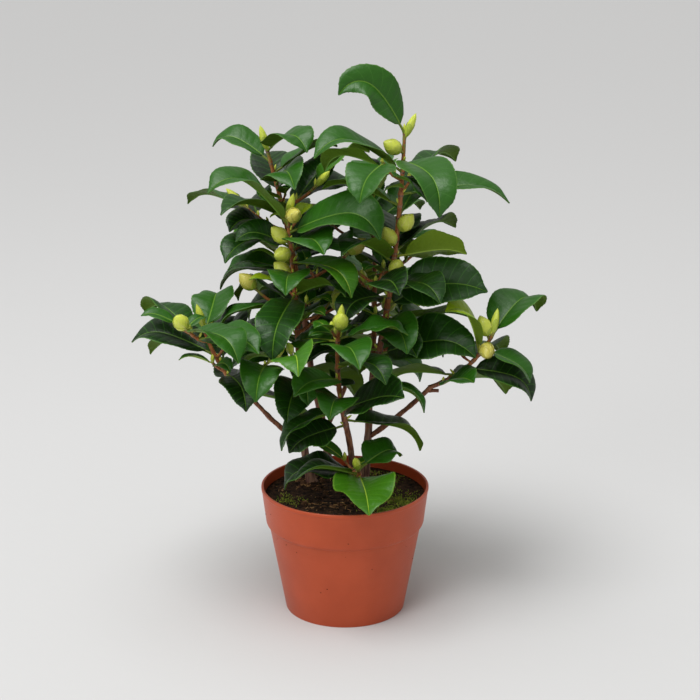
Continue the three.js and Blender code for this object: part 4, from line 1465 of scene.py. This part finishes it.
# How deep the band at the top of the rim is that gets the painted highlight.
RIM_HIGHLIGHT_DEPTH = 0.5
soften = pot.modifiers.new("corners", "BEVEL")
soften.width = CORNER_ROUND * MM
soften.segments = CORNER_STEPS
soften.limit_method = "ANGLE"
soften.angle_limit = math.radians(CORNER_FROM)
apply_modifiers(pot)
for i in range(DRAIN_COUNT):
    turn = 2 * math.pi * (i + 0.5) / DRAIN_COUNT
    select_only()
    bpy.ops.mesh.primitive_cylinder_add(
        vertices=DRILL_SIDES,
        radius=DRAIN_RADIUS * MM,
        depth=DRILL_LENGTH * MM,
        location=(DRAIN_CIRCLE * MM * math.cos(turn), DRAIN_CIRCLE * MM * math.sin(turn), 0),
    )
    drill = bpy.context.active_object
    cut = pot.modifiers.new("drain", "BOOLEAN")
    cut.operation = "DIFFERENCE"
    cut.object = drill
    apply_modifiers(pot)
    bpy.data.objects.remove(drill)
pot.data.materials.append(pot_plastic)
pot.data.materials.append(pot_rim_highlight)
# Faces at the top of the rim get the lighter finish, a painted highlight.
for face in pot.data.polygons:
    face.material_index = int(face.center.z > (POT_HEIGHT - RIM_HIGHLIGHT_DEPTH) * MM)
settle(pot, "pot", "pot", angle=25)

# %% [markdown]
# ## The peat
# The pot is filled with dark, fibrous peat, a little mounded round the stems. The surface is a fine disc with
# points that are moved by noise. Crumbs, tan fibres and pale grains lie on it, and moss grows near the rim.

# %% Peat finishes
PEAT_TINT = [(320, 1, 8), (16, 11, 8), (84, 60, 44)]
BROWN_TINT = [(500, 1, 8), (46, 31, 22), (122, 88, 64)]
peat_dark = new_finish("peat_dark", (44, 31, 24), 0.95, 0.15, PEAT_TINT, [(700, 1, 8), 0.0022], (0.32, 0.7))
peat_brown = new_finish("peat_brown", (74, 50, 36), 0.95, 0.15, BROWN_TINT, [(900, 1, 8), 0.0015], (0.3, 0.7))
fibre_tan = new_finish("fibre_tan", (138, 98, 62), 0.85, 0.2, [(500,), (112, 76, 48), (186, 146, 100)])
grain_pale = new_finish("grain_pale", (196, 186, 168), 0.9, 0.2, relief=[(900,), 0.0003])
moss_green = new_finish("moss_green", (122, 142, 48), 0.8, 0.2, [(260,), (84, 104, 34), (164, 176, 70)])

# %% The peat's body and its rough top
PEAT_SIDES = 240
PEAT_RINGS = 56
PEAT_RADIUS = RIM_RADIUS - COLLAR_TAPER * (1 - (PEAT_TOP - STEP_TOP) / COLLAR_HEIGHT) - POT_WALL - GAP
PEAT_STEP = BODY_TOP - POT_WALL - GAP
PEAT_FOOT = FOOT_RADIUS - POT_WALL - GAP
PEAT_FLOOR = FLOOR_THICKNESS + GAP
PEAT_DROP = 1.2
TOP_MARGIN = 0.1
MOUND = 2.0
MOUND_SPREAD = 90
BROAD_HEIGHT, BROAD_SIZE, BROAD_PLACE = 1.6, 16, 3.1
LUMP_HEIGHT, LUMP_SIZE, LUMP_PLACE = 1.5, 5, 7.7
LUMP_NOISE = (0.8, 2.1, 4)
EDGE_DROP = 1.5


def peat_height(x, y):
    """The height of the peat's surface over the pot's middle, in millimetres."""
    reach = math.hypot(x, y) / PEAT_RADIUS
    broad = noise.noise(Vector((x / BROAD_SIZE, y / BROAD_SIZE, BROAD_PLACE)))
    lumps = noise.fractal(Vector((x / LUMP_SIZE, y / LUMP_SIZE, LUMP_PLACE)), *LUMP_NOISE)
    feet = (stem["foot"] for stem in STEMS.values())
    stems = sum(math.exp(-((x - foot[0]) ** 2 + (y - foot[1]) ** 2) / MOUND_SPREAD) for foot in feet)
    rough = BROAD_HEIGHT * broad + LUMP_HEIGHT * lumps
    return PEAT_TOP - PEAT_DROP + rough + MOUND * min(stems, 1) - EDGE_DROP * reach**6


select_only()
bpy.ops.mesh.primitive_circle_add(
    vertices=PEAT_SIDES, radius=PEAT_FOOT * MM, fill_type="NGON", location=(0, 0, PEAT_FLOOR * MM)
)
peat = start_piece("peat_ball")
edit(peat)
raise_ring(STEP_TOP - STEP_HEIGHT - PEAT_FLOOR, PEAT_STEP / PEAT_FOOT)
raise_ring(PEAT_TOP - STEP_TOP + STEP_HEIGHT, PEAT_RADIUS / PEAT_STEP)
for i in range(PEAT_RINGS):
    raise_ring(0, (PEAT_RINGS - i - 0.5) / (PEAT_RINGS - i + 0.5))
bpy.ops.mesh.poke()
leave_edit()
for vertex in peat.data.vertices:
    if vertex.co.z > (PEAT_TOP - TOP_MARGIN) * MM:
        vertex.co.z = MM * peat_height(vertex.co.x / MM, vertex.co.y / MM)
peat.data.materials.append(peat_dark)
settle(peat, "peat", "peat")

# %% Crumbs, fibres and grains lie on the peat
SEED = 11
draw = np.random.default_rng(SEED)
RING_POINTS = 6
LUMP_RINGS = np.array([-0.85, -0.45, 0.1, 0.6, 0.9])
LUMP_UNEVEN = (0.7, 1.25)
CRUMB_KINDS = [(700, (0.7, 3.0), 0.7, (0, 3)), (90, (0.4, 1.1), 0.7, (1,)), (80, (0.9, 2.2), 0.35, (2,))]
FIBRE_COUNT = 330
FIBRE_POINTS = 7
FIBRE_BEND = 1.2
FIBRE_LENGTHS = (5, 22)
FIBRE_RADII = (0.2, 0.6)
FIBRE_SIDES = 5
FIBRE_ROOM = 6
FIBRE_MARGIN = 2
FIBRE_TILT = 1
FIBRE_SEAT = 0.4
FIBRE_LIFT = 0.5
FIBRE_TAPER = 0.5
CRUMB_ROOM = 3


def lump(centre, size, flatness):
    """An uneven pebble of a few rings."""
    line = centre + np.outer(LUMP_RINGS * size * flatness, (0, 0, 1))
    uneven = draw.uniform(*LUMP_UNEVEN, (len(LUMP_RINGS), RING_POINTS))
    return tube(line, size * np.sqrt(1 - LUMP_RINGS**2)[:, None] * uneven, RING_POINTS)


def on_peat(room):
    reach = (PEAT_RADIUS - room) * math.sqrt(draw.uniform())
    turn = draw.uniform(0, 2 * math.pi)
    x, y = reach * math.cos(turn), reach * math.sin(turn)
    return np.array([x, y, peat_height(x, y)])


def fibre(centre, length, radius):
    """A thin bent strand that lies on the peat."""
    turn, bend = draw.uniform(0, 2 * math.pi), draw.uniform(-FIBRE_BEND, FIBRE_BEND)
    steps = np.linspace(-0.5, 0.5, FIBRE_POINTS)
    turns = turn + bend * steps
    flat = np.cumsum(np.stack([np.cos(turns), np.sin(turns)], axis=1) * length / FIBRE_POINTS, axis=0)
    flat = flat - flat.mean(axis=0) + centre[:2]
    reach = np.hypot(flat[:, 0], flat[:, 1])[:, None]
    flat = flat * np.minimum(1, (PEAT_RADIUS - FIBRE_MARGIN) / np.maximum(reach, 1))
    heights = np.array([peat_height(x, y) for x, y in flat])
    tilt = draw.uniform(-FIBRE_TILT, FIBRE_TILT) * steps
    line = np.column_stack([flat, heights + FIBRE_SEAT * radius + FIBRE_LIFT + tilt])
    return tube(line, radius * (1 - FIBRE_TAPER * np.abs(steps)), FIBRE_SIDES)


crumbs, fibres = Gathered(), Gathered()
for count, sizes, flatness, slots in CRUMB_KINDS:
    for i in range(count):
        crumbs.add_tube(lump(on_peat(CRUMB_ROOM), draw.uniform(*sizes), flatness), slots[i % len(slots)])
for _ in range(FIBRE_COUNT):
    parts = fibre(on_peat(FIBRE_ROOM), draw.uniform(*FIBRE_LENGTHS), draw.uniform(*FIBRE_RADII))
    fibres.add_tube(parts, 0)
settle(crumbs.make("peat_crumbs", [peat_dark, grain_pale, fibre_tan, peat_brown]), "peat")
settle(fibres.make("peat_fibres", [fibre_tan]), "peat")


# %% [markdown]
# ## Moss and specks
# Moss is a carpet of tiny pointed shoots. It grows in a few patches, thickest at the front right. A few
# specks of peat stick to the outside of the pot, as they do after potting.

# %% Moss in patches: each one's middle, spread and count
MOSS_PATCHES = [
    (45, -15, 18, 1500),
    (34, -38, 14, 1000),
    (-46, -14, 12, 420),
    (34, 36, 16, 600),
    (-20, 50, 9, 200),
]
MOSS_HEIGHTS = (1.1, 3.4)
MOSS_LEAN = 0.45
MOSS_SUNK = 0.3
MOSS_ROOM = 1.5
MOSS_STEPS = [0, 0.55, 1]
MOSS_RADII = [0.38, 0.48, 0.06]
MOSS_SIDES = 4
moss = Gathered()
for patch_x, patch_y, spread, count in MOSS_PATCHES:
    for _ in range(count):
        x, y = draw.normal((patch_x, patch_y), spread / 2)
        if math.hypot(x, y) > PEAT_RADIUS - MOSS_ROOM:
            continue
        height = draw.uniform(*MOSS_HEIGHTS)
        lean = draw.normal(0, MOSS_LEAN, 2)
        foot = np.array([x, y, peat_height(x, y) - MOSS_SUNK])
        line = foot + np.outer(MOSS_STEPS, (*(lean * height), height))
        moss.add_tube(tube(line, MOSS_RADII, MOSS_SIDES), 0)
settle(moss.make("moss", [moss_green]), "peat")

# %% Specks on the pot's wall
SPECK_COUNT = 22
SPECK_REACH = 96
SPECK_GATHER = 1.6
SPECK_SIZES = (0.15, 0.5)
SPECK_FLATNESS = 0.8
specks = Gathered()
reaches, heights = zip(*POT_OUTSIDE)
for _ in range(SPECK_COUNT):
    z = POT_HEIGHT - SPECK_REACH * draw.uniform() ** SPECK_GATHER
    turn = draw.uniform(0, 2 * math.pi)
    radius = np.interp(z, heights, reaches)
    points, faces, _, places = lump(np.zeros(3), draw.uniform(*SPECK_SIZES), SPECK_FLATNESS)
    place = np.array([radius * math.cos(turn), radius * math.sin(turn), z])
    specks.add(points + place, faces, 0, places)
settle(specks.make("pot_specks", [peat_dark]), "peat")

# %% [markdown]
# ## Floor, light and camera
# A pale matt floor, one large soft light overhead as from a glasshouse roof, a smaller one from the front
# left, a broad soft sun for the sky, and a bright even surround. The camera stands where the photographer
# stood, with a longer lens.

# %% The floor
FLOOR_SIZE = 12
select_only()
bpy.ops.mesh.primitive_plane_add(size=FLOOR_SIZE)
floor = start_piece("floor")
floor.data.materials.append(new_finish("floor_pale", (202, 202, 202), 0.75, 0.25, relief=[(60,), 0.0002]))


# %% Lights
def aim(name, data, place, target):
    """Puts a light or the camera at a place, turned towards a target."""
    piece = link(bpy.data.objects.new(name, data))
    piece.location = place
    piece.rotation_euler = (Vector(target) - Vector(place)).to_track_quat("-Z", "Y").to_euler()
    return piece


PLANT_MIDDLE = (0, 0.02, 0.22)
LAMPS = [("roof_light", (-0.25, -0.1, 1.7), 1.3), ("front_light", (-1.3, -1.6, 1.3), 1.0)]
LIGHT_POWER = 9
SKY_POWER = 1.8
SKY_WIDTH = 35
SKY_TURN = (18, -14, 0)
SURROUND_COLOUR = (1.0, 0.99, 0.97, 1)
SURROUND_POWER = 0.46
for name, place, size in LAMPS:
    lamp = bpy.data.lights.new(name, "AREA")
    lamp.shape = "DISK"
    lamp.size = size
    lamp.energy = LIGHT_POWER
    aim(name, lamp, place, PLANT_MIDDLE)
sky = bpy.data.lights.new("sky_light", "SUN")
sky.energy = SKY_POWER
sky.angle = math.radians(SKY_WIDTH)
sky_light = link(bpy.data.objects.new("sky_light", sky))
sky_light.rotation_euler = [math.radians(turn) for turn in SKY_TURN]
world = bpy.data.worlds.new("surround")
world.use_nodes = True
surround = world.node_tree.nodes["Background"]
surround.inputs["Color"].default_value = SURROUND_COLOUR
surround.inputs["Strength"].default_value = SURROUND_POWER
bpy.context.scene.world = world
bpy.context.scene.view_settings.view_transform = "Standard"

# %% The camera
CAMERA_PLACE = (0, -1.384, 0.638)
CAMERA_TARGET = (0.004, 0.03, 0.2)
CAMERA_LENS = 98
SENSOR_WIDTH = 36
lens = bpy.data.cameras.new("camera")
lens.lens = CAMERA_LENS
lens.sensor_width = SENSOR_WIDTH
bpy.context.scene.camera = aim("camera", lens, CAMERA_PLACE, CAMERA_TARGET)
